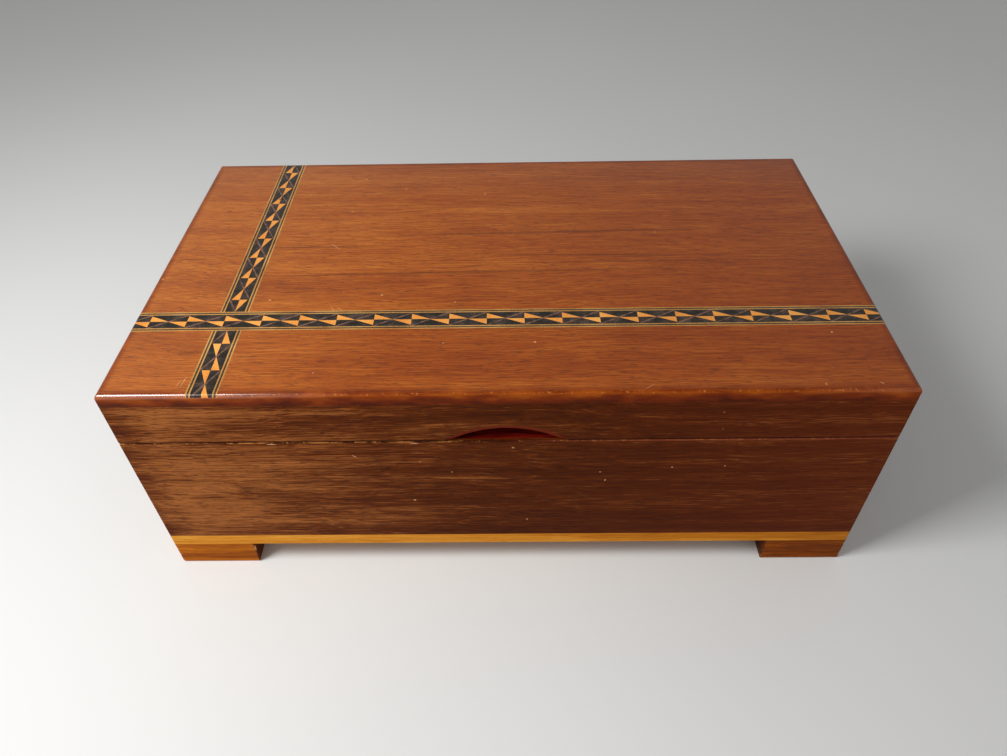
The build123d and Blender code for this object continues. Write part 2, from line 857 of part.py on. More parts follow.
write(ring_rolls, "ring_rolls")
write(jewellery_pad, "jewellery_pad")

# Movement: everything below is placed from the barrel's axis on the base board


def across(x):
    """The plane square to the cylinder's axis, at a distance right of the barrel's axis."""
    return Plane(origin=(movement_x + x, movement_y, base_top), x_dir=(0, 1, 0), z_dir=(1, 0, 0))


def level(z):
    """A level plane at a height above the base board, centred on the barrel's axis."""
    return Plane(origin=(movement_x, movement_y, base_top + z))


bedplate_top = bedplate_thickness
movement_screw, movement_screw_blank = screw_pair(
    movement_screw_head, movement_screw_head_height, movement_screw_shank, sheet_thickness + movement_screw_bite
)
comb_screw, comb_screw_blank = screw_pair(
    comb_screw_head, comb_screw_head_height, comb_screw_shank, comb_base_thickness + comb_screw_bite
)

bridge_leg = crown_radius + crown_face / 2 + bridge_clearance
bridge_tab_y = bridge_leg + (sheet_thickness + bridge_foot) / 2
left_bracket_start = cylinder_start - bracket_gap - sheet_thickness
left_tab = (left_bracket_start + sheet_thickness + bracket_tab / 2, bracket_tab_offset + bracket_tab / 2)
right_tab = (right_bracket_start + sheet_thickness + bracket_tab / 2, -bracket_tab_offset - bracket_tab / 2)
governor_middle = (governor_frame_front + governor_frame_back) / 2
governor_left_tab = (frame_start - governor_tab_length / 2, governor_middle + governor_tab_shift)
governor_right_tab = (frame_end + governor_tab_length / 2, governor_frame_front + governor_tab_width / 2)
sheet_top = bedplate_top + sheet_thickness
screw_spots = [
    (0, bridge_tab_y), (0, -bridge_tab_y), left_tab, right_tab, governor_left_tab, governor_right_tab,
]
movement_screw_places = [(movement_x + x, movement_y + y, base_top + sheet_top) for x, y in screw_spots]

comb_middle = cylinder_start + cylinder_length / 2
comb_width = comb_tooth_count * comb_tooth_pitch + 2 * comb_base_margin
comb_tip_y = -(cylinder_radius + pin_height + comb_tip_gap)
comb_root_y = comb_tip_y - comb_tooth_length
comb_back_y = comb_root_y - comb_base_depth
comb_top = axis_rise + comb_tooth_thickness / 2
comb_bottom = comb_top - comb_base_thickness
comb_screw_y = comb_root_y - comb_base_depth / 2
comb_screw_places = [
    (movement_x + comb_middle + side * comb_screw_spacing / 2, movement_y + comb_screw_y, base_top + comb_top)
    for side in (-1, 1)
]

with BuildPart() as bedplate:
    with BuildSketch(level(0)):
        with Locations(((bedplate_right - bedplate_left) / 2, (bedplate_back - bedplate_front) / 2)):
            RectangleRounded(bedplate_left + bedplate_right, bedplate_back + bedplate_front, bedplate_corner)
        Circle(arbor_radius + running_fit, mode=Mode.SUBTRACT)
    extrude(amount=bedplate_thickness)
    with Locations(*bedplate_screw_places):
        add(bedplate_screw_blank, mode=Mode.SUBTRACT)
    with Locations(*movement_screw_places):
        add(movement_screw_blank, mode=Mode.SUBTRACT)

with BuildPart() as bedplate_screws:
    with Locations(*bedplate_screw_places):
        add(bedplate_screw)

with BuildPart() as movement_screws:
    with Locations(*movement_screw_places):
        add(movement_screw)

write(bedplate, "bedplate")
write(bedplate_screws, "bedplate_screws")
write(movement_screws, "movement_screws")

# Spring barrel with crown teeth on its flange

barrel_top = crown_base + barrel_height
barrel_inside = barrel_radius - barrel_wall
crown_pitch = 2 * pi * crown_radius / crown_teeth
crown_half = tooth_share * crown_pitch / 2

with BuildPart() as crown_tooth:
    with BuildSketch(across(crown_radius - crown_face / 2)):
        half_low = crown_half + tooth_lean * (crown_dedendum + tooth_sink)
        half_high = crown_half - tooth_lean * crown_addendum
        Polygon(
            (-half_low, crown_base - tooth_sink), (half_low, crown_base - tooth_sink),
            (half_high, crown_base + crown_dedendum + crown_addendum),
            (-half_high, crown_base + crown_dedendum + crown_addendum), align=None,
        )
    extrude(amount=crown_face)

with BuildPart() as spring_barrel:
    with BuildSketch(level(flange_height)):
        Circle(crown_radius + crown_face / 2)
    extrude(amount=flange_thickness)
    with BuildSketch(level(crown_base)):
        Circle(barrel_radius)
        Circle(barrel_inside, mode=Mode.SUBTRACT)
    extrude(amount=barrel_height)
    with BuildSketch(level(flange_height)):
        Circle(arbor_radius + running_fit)
    extrude(amount=flange_thickness, mode=Mode.SUBTRACT)
    for i in range(crown_teeth):
        turn = (i + 0.5) * 360 / crown_teeth
        add(crown_tooth.part.rotate(Axis((movement_x, movement_y, 0), (0, 0, 1)), turn))

with BuildPart() as barrel_cover:
    with BuildSketch(level(barrel_top)):
        Circle(barrel_inside)
        Circle(arbor_top_radius + running_fit, mode=Mode.SUBTRACT)
    extrude(amount=-barrel_cover_thickness)

# Mainspring: half turns of growing radius, struck from two centres, as one unbroken strip

spring_low = crown_base + mainspring_margin
spring_high = barrel_top - barrel_cover_thickness - mainspring_margin
spring_first = arbor_hub_radius + mainspring_margin + mainspring_thickness / 2
spring_last = barrel_inside - mainspring_margin - mainspring_thickness / 2
half_turns = int((spring_last - spring_first) / (mainspring_pitch / 2))
half_growth = mainspring_pitch / 2

with BuildPart() as mainspring:
    with BuildSketch(level(spring_low)):
        for i in range(half_turns):
            radius = spring_first + i * half_growth
            upper = i % 2 == 0
            centre = 0 if upper else half_growth
            start = 0 if upper else 180
            with BuildLine():
                outer_arc = CenterArc((centre, 0), radius + mainspring_thickness / 2, start, 180)
                inner_arc = CenterArc((centre, 0), radius - mainspring_thickness / 2, start, 180)
                Line(outer_arc @ 0, inner_arc @ 0)
                Line(outer_arc @ 1, inner_arc @ 1)
            make_face()
    extrude(amount=spring_high - spring_low)

write(spring_barrel, "spring_barrel")
write(barrel_cover, "barrel_cover")
write(mainspring, "mainspring")

# Winding arbor, clutch spring, key and the bridge over the barrel

bridge_bottom = barrel_top + bridge_gap
bridge_top = bridge_bottom + sheet_thickness
key_top = -base_thickness - key_clearance
key_hub_bottom = key_top - key_hub_height
hub_low = crown_base + end_play
hub_high = barrel_top - barrel_cover_thickness - end_play

with BuildPart() as winding_arbor:
    with BuildSketch(level(key_top)):
        Circle(arbor_radius)
    extrude(amount=hub_low - key_top)
    with BuildSketch(level(flange_height - end_play)):
        Circle(arbor_hub_radius)
    extrude(amount=-arbor_collar_thickness)
    with BuildSketch(level(key_hub_bottom)):
        Circle(arbor_top_radius)
    extrude(amount=key_top - key_hub_bottom)
    with BuildSketch(level(hub_low)):
        Circle(arbor_hub_radius)
    extrude(amount=hub_high - hub_low)
    with BuildSketch(level(hub_high)):
        Circle(arbor_top_radius)
    extrude(amount=bridge_top - hub_high)

with BuildPart() as winding_key:
    with BuildSketch(level(key_hub_bottom)):
        Circle(key_hub_radius)
        Circle(arbor_top_radius, mode=Mode.SUBTRACT)
    extrude(amount=key_hub_height)
    wing_top = key_hub_bottom + key_wing_overlap
    key_face = Plane(
        origin=(movement_x, movement_y + key_wing_thickness / 2, base_top), x_dir=(1, 0, 0), z_dir=(0, -1, 0)
    )
    with BuildSketch(key_face):
        with Locations((0, wing_top - key_wing_height / 2)):
            SlotOverall(key_wing_length, key_wing_height)
    extrude(amount=key_wing_thickness)
    with BuildSketch(level(key_hub_bottom)):
        Circle(arbor_top_radius)
    extrude(amount=key_hub_height, mode=Mode.SUBTRACT)

clutch_radius = arbor_radius + running_fit + clutch_wire / 2
clutch_pitch = clutch_wire + clutch_gap
clutch_low = bedplate_top + clutch_wire / 2 + end_play

with BuildPart() as clutch_spring:
    with BuildLine(level(clutch_low)) as clutch_route:
        Helix(pitch=clutch_pitch, height=clutch_turns * clutch_pitch, radius=clutch_radius)
    with BuildSketch(Plane(origin=clutch_route.line @ 0, z_dir=clutch_route.line % 0)):
        Circle(clutch_wire / 2)
    sweep(is_frenet=True)

with BuildPart() as barrel_bridge:
    with BuildSketch(level(bridge_bottom)):
        Rectangle(bridge_width, 2 * (bridge_leg + sheet_thickness))
    extrude(amount=sheet_thickness)
    for side in (-1, 1):
        with BuildSketch(level(bedplate_top)):
            with Locations((0, side * (bridge_leg + sheet_thickness / 2))):
                Rectangle(bridge_width, sheet_thickness)
        extrude(amount=bridge_bottom - bedplate_top)
        with BuildSketch(level(bedplate_top)):
            with Locations((0, side * (bridge_leg + bridge_foot / 2))):
                Rectangle(bridge_width, bridge_foot)
        extrude(amount=sheet_thickness)
    with BuildSketch(level(bridge_bottom)):
        Circle(arbor_top_radius + running_fit)
    extrude(amount=sheet_thickness, mode=Mode.SUBTRACT)
    with Locations(*movement_screw_places):
        add(movement_screw_blank, mode=Mode.SUBTRACT)

write(winding_arbor, "winding_arbor")
write(winding_key, "winding_key")
write(clutch_spring, "clutch_spring")
write(barrel_bridge, "barrel_bridge")

# Pinned cylinder on its arbor, between two brackets

arbor_start = crown_radius - crown_face / 2 - pinion_overhang
arbor_end = right_bracket_start + sheet_thickness + bracket_gap
pinion_start = crown_radius - cylinder_pinion_face / 2

with BuildPart() as cylinder_arbor:
    with BuildSketch(across(arbor_start)):
        with Locations((0, axis_rise)):
            Circle(cylinder_arbor_radius)
    extrude(amount=arbor_end - arbor_start)
    with BuildSketch(across(pinion_start)):
        with Locations((0, axis_rise)):
            add(gear_face(cylinder_pinion_teeth, crown_module, first_tooth=-90))
    extrude(amount=cylinder_pinion_face)

with BuildPart() as music_cylinder:
    with BuildSketch(across(cylinder_start)):
        with Locations((0, axis_rise)):
            Circle(cylinder_radius)
            Circle(cylinder_arbor_radius, mode=Mode.SUBTRACT)
    extrude(amount=cylinder_length)
    with BuildSketch(across(cylinder_start + cylinder_wall)):
        with Locations((0, axis_rise)):
            Circle(cylinder_radius - cylinder_wall)
            Circle(cylinder_arbor_radius, mode=Mode.SUBTRACT)
    extrude(amount=cylinder_length - 2 * cylinder_wall, mode=Mode.SUBTRACT)

with BuildPart() as cylinder_wheel:
    with BuildSketch(across(wheel_start)):
        with Locations((0, axis_rise)):
            add(gear_face(cylinder_wheel_teeth, wheel_module))
            Circle(cylinder_arbor_radius, mode=Mode.SUBTRACT)
    extrude(amount=cylinder_wheel_face)

# Pins stand in rows that rise and fall across the comb like a plain scale

with BuildPart() as pin_blank:
    with BuildSketch(Plane.XY.offset(cylinder_radius - pin_depth)):
        Circle(pin_radius)
    extrude(amount=pin_height + pin_depth)

first_track = comb_middle - (comb_tooth_count - 1) * comb_tooth_pitch / 2
scale_steps = 2 * comb_tooth_count - 2
pins_in_all = 4 * comb_tooth_count

with BuildPart() as cylinder_pins:
    for i in range(pins_in_all):
        step = (i * pin_turns) % scale_steps
        track = step if step < comb_tooth_count else scale_steps - step
        spot = Location((movement_x + first_track + track * comb_tooth_pitch, movement_y, base_top + axis_rise))
        with Locations(spot * Location((0, 0, 0), (i * 360 / pins_in_all, 0, 0))):
            add(pin_blank.part)

write(cylinder_arbor, "cylinder_arbor")
write(music_cylinder, "music_cylinder")
write(cylinder_wheel, "cylinder_wheel")
write(cylinder_pins, "cylinder_pins")


def bearing_bracket(start, tab, reach_low, reach_high):
    """A plate square to the cylinder's arbor with a bored bearing and a tab for its screw."""
    with BuildPart() as bracket:
        with BuildSketch(across(start)):
            with Locations(((reach_low + reach_high) / 2, (bedplate_top + axis_rise + bracket_margin) / 2)):
                Rectangle(reach_high - reach_low, axis_rise + bracket_margin - bedplate_top)
            with Locations((0, axis_rise)):
                Circle(cylinder_arbor_radius + running_fit, mode=Mode.SUBTRACT)
        extrude(amount=sheet_thickness)
        with BuildSketch(level(bedplate_top)):
            with Locations(tab):
                Rectangle(bracket_tab, bracket_tab)
        extrude(amount=sheet_thickness)
        with Locations(*movement_screw_places):
            add(movement_screw_blank, mode=Mode.SUBTRACT)
    return bracket


tab_reach = bracket_tab_offset + bracket_tab
left_bearing_bracket = bearing_bracket(left_bracket_start, left_tab, -bracket_width / 2, tab_reach)
right_reach = bracket_width / 2 - right_bracket_trim
right_bearing_bracket = bearing_bracket(right_bracket_start, right_tab, -tab_reach, right_reach)

write(left_bearing_bracket, "left_bearing_bracket")
write(right_bearing_bracket, "right_bearing_bracket")

# Comb with its sawn teeth, on a block

with BuildPart() as comb_block:
    with BuildSketch(level(bedplate_top)):
        with Locations((comb_middle, comb_screw_y)):
            Rectangle(comb_width, comb_base_depth)
    extrude(amount=comb_bottom - bedplate_top)
    with Locations(*comb_screw_places):
        add(comb_screw_blank, mode=Mode.SUBTRACT)

with BuildPart() as comb:
    with BuildSketch(level(comb_bottom)):
        with Locations((comb_middle, comb_screw_y)):
            Rectangle(comb_width, comb_base_depth)
    extrude(amount=comb_base_thickness)
    with BuildSketch(level(comb_top - comb_tooth_thickness)):
        for i in range(comb_tooth_count):
            with Locations((first_track + i * comb_tooth_pitch, comb_root_y + comb_tooth_length / 2)):
                Rectangle(comb_tooth_pitch - comb_slot_width, comb_tooth_length)
    extrude(amount=comb_tooth_thickness)
    with Locations(*comb_screw_places):
        add(comb_screw_blank, mode=Mode.SUBTRACT)

with BuildPart() as comb_screws:
    with Locations(*comb_screw_places):
        add(comb_screw)

write(comb_block, "comb_block")
write(comb, "comb")
write(comb_screws, "comb_screws")

# Governor: frame, arbor with pinion and worm wheel, worm and fan

with BuildPart() as governor_frame:
    window = Plane(
        origin=(movement_x, movement_y + governor_frame_front, base_top), x_dir=(-1, 0, 0), z_dir=(0, 1, 0)
    )
    middle = -(frame_start + frame_end) / 2
    with BuildSketch(window):
        with Locations((middle, bedplate_top + (frame_top - bedplate_top) / 2)):
            Rectangle(governor_frame_width, frame_top - bedplate_top)
            Rectangle(
                governor_frame_width - 2 * sheet_thickness, frame_top - bedplate_top - 2 * sheet_thickness,
                mode=Mode.SUBTRACT,
            )
    extrude(amount=governor_frame_back - governor_frame_front)
    with BuildSketch(across(frame_end - sheet_thickness)):
        with Locations((lever_y, lever_rise)):
            Circle(lever_hub_radius)
        Polygon(
            (governor_frame_back - sheet_thickness, bedplate_top + lever_lug_rise),
            (lever_y + lever_hub_radius, lever_rise), (lever_y - lever_hub_radius, lever_rise),
            (governor_frame_back - lever_lug_inset, frame_top), align=None,
        )
    extrude(amount=sheet_thickness)
    with BuildSketch(level(bedplate_top)):
        for tab in (governor_left_tab, governor_right_tab):
            with Locations(tab):
                Rectangle(governor_tab_length, governor_tab_width)
    extrude(amount=sheet_thickness)
    with BuildSketch(across(frame_start)):
        with Locations((governor_y, axis_rise)):
            Circle(governor_arbor_radius + running_fit)
    extrude(amount=governor_frame_width, mode=Mode.SUBTRACT)
    with BuildSketch(across(frame_end - sheet_thickness)):
        with Locations((lever_y, lever_rise)):
            Circle(lever_stud_radius)
    extrude(amount=sheet_thickness, mode=Mode.SUBTRACT)
    with BuildSketch(level(bedplate_top)):
        with Locations((worm_x, worm_y)):
            Circle(worm_pivot_radius + running_fit)
    extrude(amount=frame_top - bedplate_top, mode=Mode.SUBTRACT)
    with Locations(*movement_screw_places):
        add(movement_screw_blank, mode=Mode.SUBTRACT)

with BuildPart() as governor_arbor:
    with BuildSketch(across(frame_start)):
        with Locations((governor_y, axis_rise)):
            Circle(governor_arbor_radius)
    extrude(amount=governor_frame_width)
    with BuildSketch(across(wheel_start - pinion_overhang)):
        with Locations((governor_y, axis_rise)):
            add(gear_face(governor_pinion_teeth, wheel_module, first_tooth=180 + 180 / governor_pinion_teeth))
    extrude(amount=cylinder_wheel_face + 2 * pinion_overhang)
    with BuildSketch(across(worm_x - worm_wheel_face / 2)):
        with Locations((governor_y, axis_rise)):
            add(gear_face(worm_wheel_teeth, wheel_module))
    extrude(amount=worm_wheel_face)

worm_pitch = pi * wheel_module
worm_half = tooth_share * worm_pitch / 2
worm_low = axis_rise - worm_turns * worm_pitch / 2
frame_inner_top = frame_top - sheet_thickness
frame_inner_bottom = bedplate_top + sheet_thickness
worm_plane = Plane(
    origin=(movement_x + worm_x, movement_y + worm_y, base_top + worm_low), x_dir=(0, -1, 0), z_dir=(0, 0, 1)
)

with BuildPart() as governor_worm:
    with BuildLine(worm_plane):
        Helix(pitch=worm_pitch, height=worm_turns * worm_pitch, radius=worm_core_radius)
    thread_plane = Plane(origin=worm_plane.origin, x_dir=(0, -1, 0), z_dir=(-1, 0, 0))
    with BuildSketch(thread_plane):
        thread_inside = worm_core_radius - tooth_sink
        thread_tip = worm_pitch_radius + tooth_addendum * wheel_module
        half_low = worm_half + tooth_lean * (worm_pitch_radius - thread_inside)
        half_high = worm_half - tooth_lean * (thread_tip - worm_pitch_radius)
        Polygon(
            (thread_inside, -half_low), (thread_tip, -half_high),
            (thread_tip, half_high), (thread_inside, half_low), align=None,
        )
    sweep(is_frenet=True)
    with BuildSketch(level(frame_inner_bottom + end_play)):
        with Locations((worm_x, worm_y)):
            Circle(worm_core_radius)
    extrude(amount=frame_inner_top - frame_inner_bottom - 2 * end_play)
    with BuildSketch(level(bedplate_top + end_play)):
        with Locations((worm_x, worm_y)):
            Circle(worm_pivot_radius)
    extrude(amount=fan_bottom + fan_height - bedplate_top)

with BuildPart() as governor_fan:
    with BuildSketch(level(fan_bottom)):
        with Locations((worm_x, worm_y)):
            Circle(fan_hub_radius)
            Rectangle(fan_thickness, 2 * fan_radius)
            Circle(worm_pivot_radius, mode=Mode.SUBTRACT)
    extrude(amount=fan_height)
    with BuildSketch(level(fan_bottom)):
        with Locations((worm_x, worm_y)):
            Circle(fan_radius)
    extrude(amount=fan_height, mode=Mode.INTERSECT)

write(governor_frame, "governor_frame")
write(governor_arbor, "governor_arbor")
write(governor_worm, "governor_worm")
write(governor_fan, "governor_fan")

# Stop work: the closed lid holds the push pin down, and the lever's finger up beside the fan

with BuildPart() as stop_pin:
    with BuildSketch(Plane.XY.offset(stop_pin_bottom)):
        with Locations((stop_pin_x, stop_pin_y)):
            Circle(stop_pin_radius)
    extrude(amount=stop_pin_top - stop_pin_bottom)

with BuildPart() as stop_lever:
    with BuildSketch(across(lever_plane)):
        with Locations((lever_y, lever_rise)):
            Circle(lever_hub_radius)
        with Locations((lever_y + lever_rear_arm / 2, lever_rise)):
            Rectangle(lever_rear_arm, 2 * lever_nose_radius)
        with Locations((lever_y + lever_rear_arm, lever_rise)):
            Circle(lever_nose_radius)
        with Locations((lever_y - lever_front_arm / 2, lever_rise)):
            Rectangle(lever_front_arm, lever_arm_width)
        with Locations((lever_y - lever_front_arm, lever_rise + (lever_finger_rise - lever_arm_width / 2) / 2)):
            Rectangle(lever_arm_width, lever_finger_rise + lever_arm_width / 2)
        with Locations((lever_y, lever_rise)):
            Circle(lever_stud_radius + running_fit, mode=Mode.SUBTRACT)
    extrude(amount=lever_thickness)

with BuildPart() as lever_stud:
    with BuildSketch(across(frame_end - sheet_thickness)):
        with Locations((lever_y, lever_rise)):
            Circle(lever_stud_radius)
    extrude(amount=lever_plane + lever_thickness + end_play - frame_end + sheet_thickness)
    with BuildSketch(across(lever_plane + lever_thickness + end_play)):
        with Locations((lever_y, lever_rise)):
            Circle(lever_stud_head)
    extrude(amount=sheet_thickness / 2)
    with BuildSketch(across(frame_end)):
        with Locations((lever_y, lever_rise)):
            Circle(lever_stud_head)
    extrude(amount=lever_plane - end_play - frame_end)

write(stop_pin, "stop_pin")
write(stop_lever, "stop_lever")
write(lever_stud, "lever_stud")

# Figures that the joints take from this model

print("barrel axis", movement_x, movement_y)
print("cylinder axis level", base_top + axis_rise)
print("hinge axis", hinge_y, seam)
print("governor axis", movement_y + governor_y, "worm axis", movement_x + worm_x, movement_y + worm_y)
print("lever axis", movement_y + lever_y, lever_axis_z)
print("lever swing", degrees(asin(stop_pin_travel / lever_rear_arm)))
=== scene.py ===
import bmesh
import bpy
import math
from mathutils import Matrix, Vector


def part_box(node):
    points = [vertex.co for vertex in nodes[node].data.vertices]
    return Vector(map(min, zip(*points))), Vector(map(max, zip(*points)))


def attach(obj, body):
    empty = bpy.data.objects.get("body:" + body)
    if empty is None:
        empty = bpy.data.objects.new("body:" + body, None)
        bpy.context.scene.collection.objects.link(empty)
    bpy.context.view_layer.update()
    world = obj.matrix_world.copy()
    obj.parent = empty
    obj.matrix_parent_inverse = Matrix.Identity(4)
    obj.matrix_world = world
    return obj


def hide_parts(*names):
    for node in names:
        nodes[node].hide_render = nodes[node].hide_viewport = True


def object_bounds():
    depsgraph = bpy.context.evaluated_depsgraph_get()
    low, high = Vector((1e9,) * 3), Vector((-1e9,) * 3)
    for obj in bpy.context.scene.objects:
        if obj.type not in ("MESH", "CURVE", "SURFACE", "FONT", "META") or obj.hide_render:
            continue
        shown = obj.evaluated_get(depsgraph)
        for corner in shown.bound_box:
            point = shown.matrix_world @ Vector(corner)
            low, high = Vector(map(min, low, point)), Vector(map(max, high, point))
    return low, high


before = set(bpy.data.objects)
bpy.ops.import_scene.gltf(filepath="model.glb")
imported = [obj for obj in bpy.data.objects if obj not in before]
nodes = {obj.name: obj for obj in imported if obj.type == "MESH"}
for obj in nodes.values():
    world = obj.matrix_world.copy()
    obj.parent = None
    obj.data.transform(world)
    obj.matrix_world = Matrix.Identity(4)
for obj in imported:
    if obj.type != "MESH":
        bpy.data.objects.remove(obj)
cad_low, cad_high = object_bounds()

# Everything is in metres, in the frame's own axes: front towards -Y, lid closed, floor at z = 0

mm = 0.001


def low(node):
    """A node's lowest corner."""
    return Vector(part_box(node)[0])


def high(node):
    """A node's highest corner."""
    return Vector(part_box(node)[1])


box_low = Vector(cad_low)
box_high = Vector(cad_high)
box_half = (box_high - box_low) / 2
top_level = box_high.z
seam = high("front_board").z

# Camera: the photograph's own place and angle

image_width = 1007
focal_pixels = 757.0
sensor_width = 36.0
camera_place = Vector((3.07, -246.9, 267.2)) * mm
camera_pitch = math.radians(43.90)
camera_yaw = math.radians(-1.146)
camera_roll = math.radians(-1.334)


def add_camera():
    """The camera looks down its pitch, turned by its yaw and tilted by its roll."""
    ahead = Vector((
        math.sin(camera_yaw) * math.cos(camera_pitch),
        math.cos(camera_yaw) * math.cos(camera_pitch),
        -math.sin(camera_pitch),
    ))
    level = Vector((math.cos(camera_yaw), -math.sin(camera_yaw), 0.0))
    upward = level.cross(ahead)
    right = math.cos(camera_roll) * level + math.sin(camera_roll) * upward
    up = -math.sin(camera_roll) * level + math.cos(camera_roll) * upward
    data = bpy.data.cameras.new("photo_camera")
    data.sensor_fit = "HORIZONTAL"
    data.sensor_width = sensor_width
    data.lens = focal_pixels / image_width * sensor_width
    data.clip_start = 0.01
    camera = bpy.data.objects.new("photo_camera", data)
    turn = Matrix((right, up, -ahead)).transposed().to_4x4()
    camera.matrix_world = Matrix.Translation(camera_place) @ turn
    bpy.context.scene.collection.objects.link(camera)
    bpy.context.scene.camera = camera


# Colours and node trees


def colour(red, green, blue):
    """A colour as the eye reads it, 0 to 255, turned into the shader's own scale."""
    def channel(value):
        value = value / 255
        return value / 12.92 if value <= 0.04045 else ((value + 0.055) / 1.055) ** 2.4
    return (channel(red), channel(green), channel(blue), 1.0)


def steps(places, *shades):
    """Pairs places along a ramp, 0 to 1, with colours."""
    return [(place, colour(*shade)) for place, shade in zip(places, shades)]


def feed(tree, node, inputs):
    """Sets a shader node's inputs, each to a value or to another node's output."""
    for name, value in inputs.items():
        if isinstance(value, bpy.types.NodeSocket):
            tree.links.new(value, node.inputs[name])
        else:
            node.inputs[name].default_value = value


def put(tree, kind, inputs=None, **settings):
    """Adds a shader node, sets it up and feeds its inputs."""
    made = tree.nodes.new("ShaderNode" + kind)
    for name, value in settings.items():
        setattr(made, name, value)
    feed(tree, made, inputs or {})
    return made


def calc(tree, operation, first, second=0.0, clamp=False):
    """One step of arithmetic."""
    inputs = {0: first, 1: second}
    return put(tree, "Math", inputs, operation=operation, use_clamp=clamp).outputs[0]


def times(tree, first, second, clamp=False):
    """The product of two values."""
    return calc(tree, "MULTIPLY", first, second, clamp)


def plus(tree, first, second):
    """The sum of two values."""
    return calc(tree, "ADD", first, second)


def minus(tree, first, second, clamp=False):
    """The first value less the second."""
    return calc(tree, "SUBTRACT", first, second, clamp)


def divided(tree, first, second, clamp=False):
    """The first value divided by the second."""
    return calc(tree, "DIVIDE", first, second, clamp)


def smaller(tree, first, second):
    """The smaller of two values."""
    return calc(tree, "MINIMUM", first, second)


def larger(tree, first, second):
    """The larger of two values."""
    return calc(tree, "MAXIMUM", first, second)


def unsigned(tree, value):
    """A value without its sign."""
    return calc(tree, "ABSOLUTE", value)


def vector_calc(tree, operation, first, second):
    """One step of vector arithmetic."""
    return put(tree, "VectorMath", {0: first, 1: second}, operation=operation).outputs[0]


def unsigned_vector(tree, vector):
    """A vector's three values without their signs."""
    return put(tree, "VectorMath", {0: vector}, operation="ABSOLUTE").outputs[0]


def split(tree, vector):
    """A vector's three values, one by one."""
    return tuple(put(tree, "SeparateXYZ", {0: vector}).outputs)


def joined(tree, first, second, third):
    """A vector made of three values."""
    return put(tree, "CombineXYZ", {0: first, 1: second, 2: third}).outputs[0]


def rescale(tree, value, from_low, from_high, to_low=0.0, to_high=1.0):
    """Maps a range of values onto another and clamps it there."""
    inputs = {
        "Value": value, "From Min": from_low, "From Max": from_high,
        "To Min": to_low, "To Max": to_high,
    }
    return put(tree, "MapRange", inputs).outputs[0]


def mix(tree, factor, first, second):
    """Blends two colours."""
    return put(tree, "Mix", {0: factor, 6: first, 7: second}, data_type="RGBA").outputs[2]


def choose(tree, factor, first, second):
    """Blends two values."""
    return put(tree, "Mix", {0: factor, 2: first, 3: second}).outputs[0]


def ramp(tree, value, stops):
    """Colours picked along a value, from a list of places and colours."""
    made = put(tree, "ValToRGB", {0: value})
    elements = made.color_ramp.elements
    while len(elements) < len(stops):
        elements.new(1.0)
    for element, (place, shade) in zip(elements, stops):
        element.position = place
        element.color = shade
    return made.outputs[0]


def noise(tree, vector, scale, detail=2.0, roughness=0.5):
    """Soft noise from 0 to 1 at a number of lumps per metre."""
    inputs = {"Vector": vector, "Scale": scale, "Detail": detail, "Roughness": roughness}
    return put(tree, "TexNoise", inputs).outputs[0]


def stretched_noise(tree, vector, per_metre, detail=2.0, roughness=0.5):
    """Soft noise with its own number of lumps per metre along each axis."""
    return noise(tree, vector_calc(tree, "MULTIPLY", vector, per_metre), 1.0, detail, roughness)


def new_group(name, inputs, outputs):
    """An empty node group with named inputs and outputs."""
    tree = bpy.data.node_groups.new(name, "ShaderNodeTree")
    face = tree.interface
    for label, kind, value in inputs:
        socket = face.new_socket(name=label, in_out="INPUT", socket_type="NodeSocket" + kind)
        if value is not None:
            socket.default_value = value
    for label in outputs:
        face.new_socket(name=label, in_out="OUTPUT", socket_type="NodeSocketFloat")
    given = tree.nodes.new("NodeGroupInput").outputs
    return tree, given, tree.nodes.new("NodeGroupOutput")


def use(tree, group, inputs):
    """Places a node group in a material and returns its outputs."""
    made = tree.nodes.new("ShaderNodeGroup")
    made.node_tree = group
    feed(tree, made, inputs)
    return made.outputs


# Effects that several finishes share. Lumps are counted per metre, first along the grain

sway_lumps = 8.0
sway_width = 9 * mm
ripple_lumps = (60.0, 160.0, 160.0)
ripple_width = 1.2 * mm
figure_along = 6.0
streaks_along = 55.0
line_lumps = (90.0, 1700.0, 1700.0)
pore_lumps = (300.0, 2600.0, 2600.0)


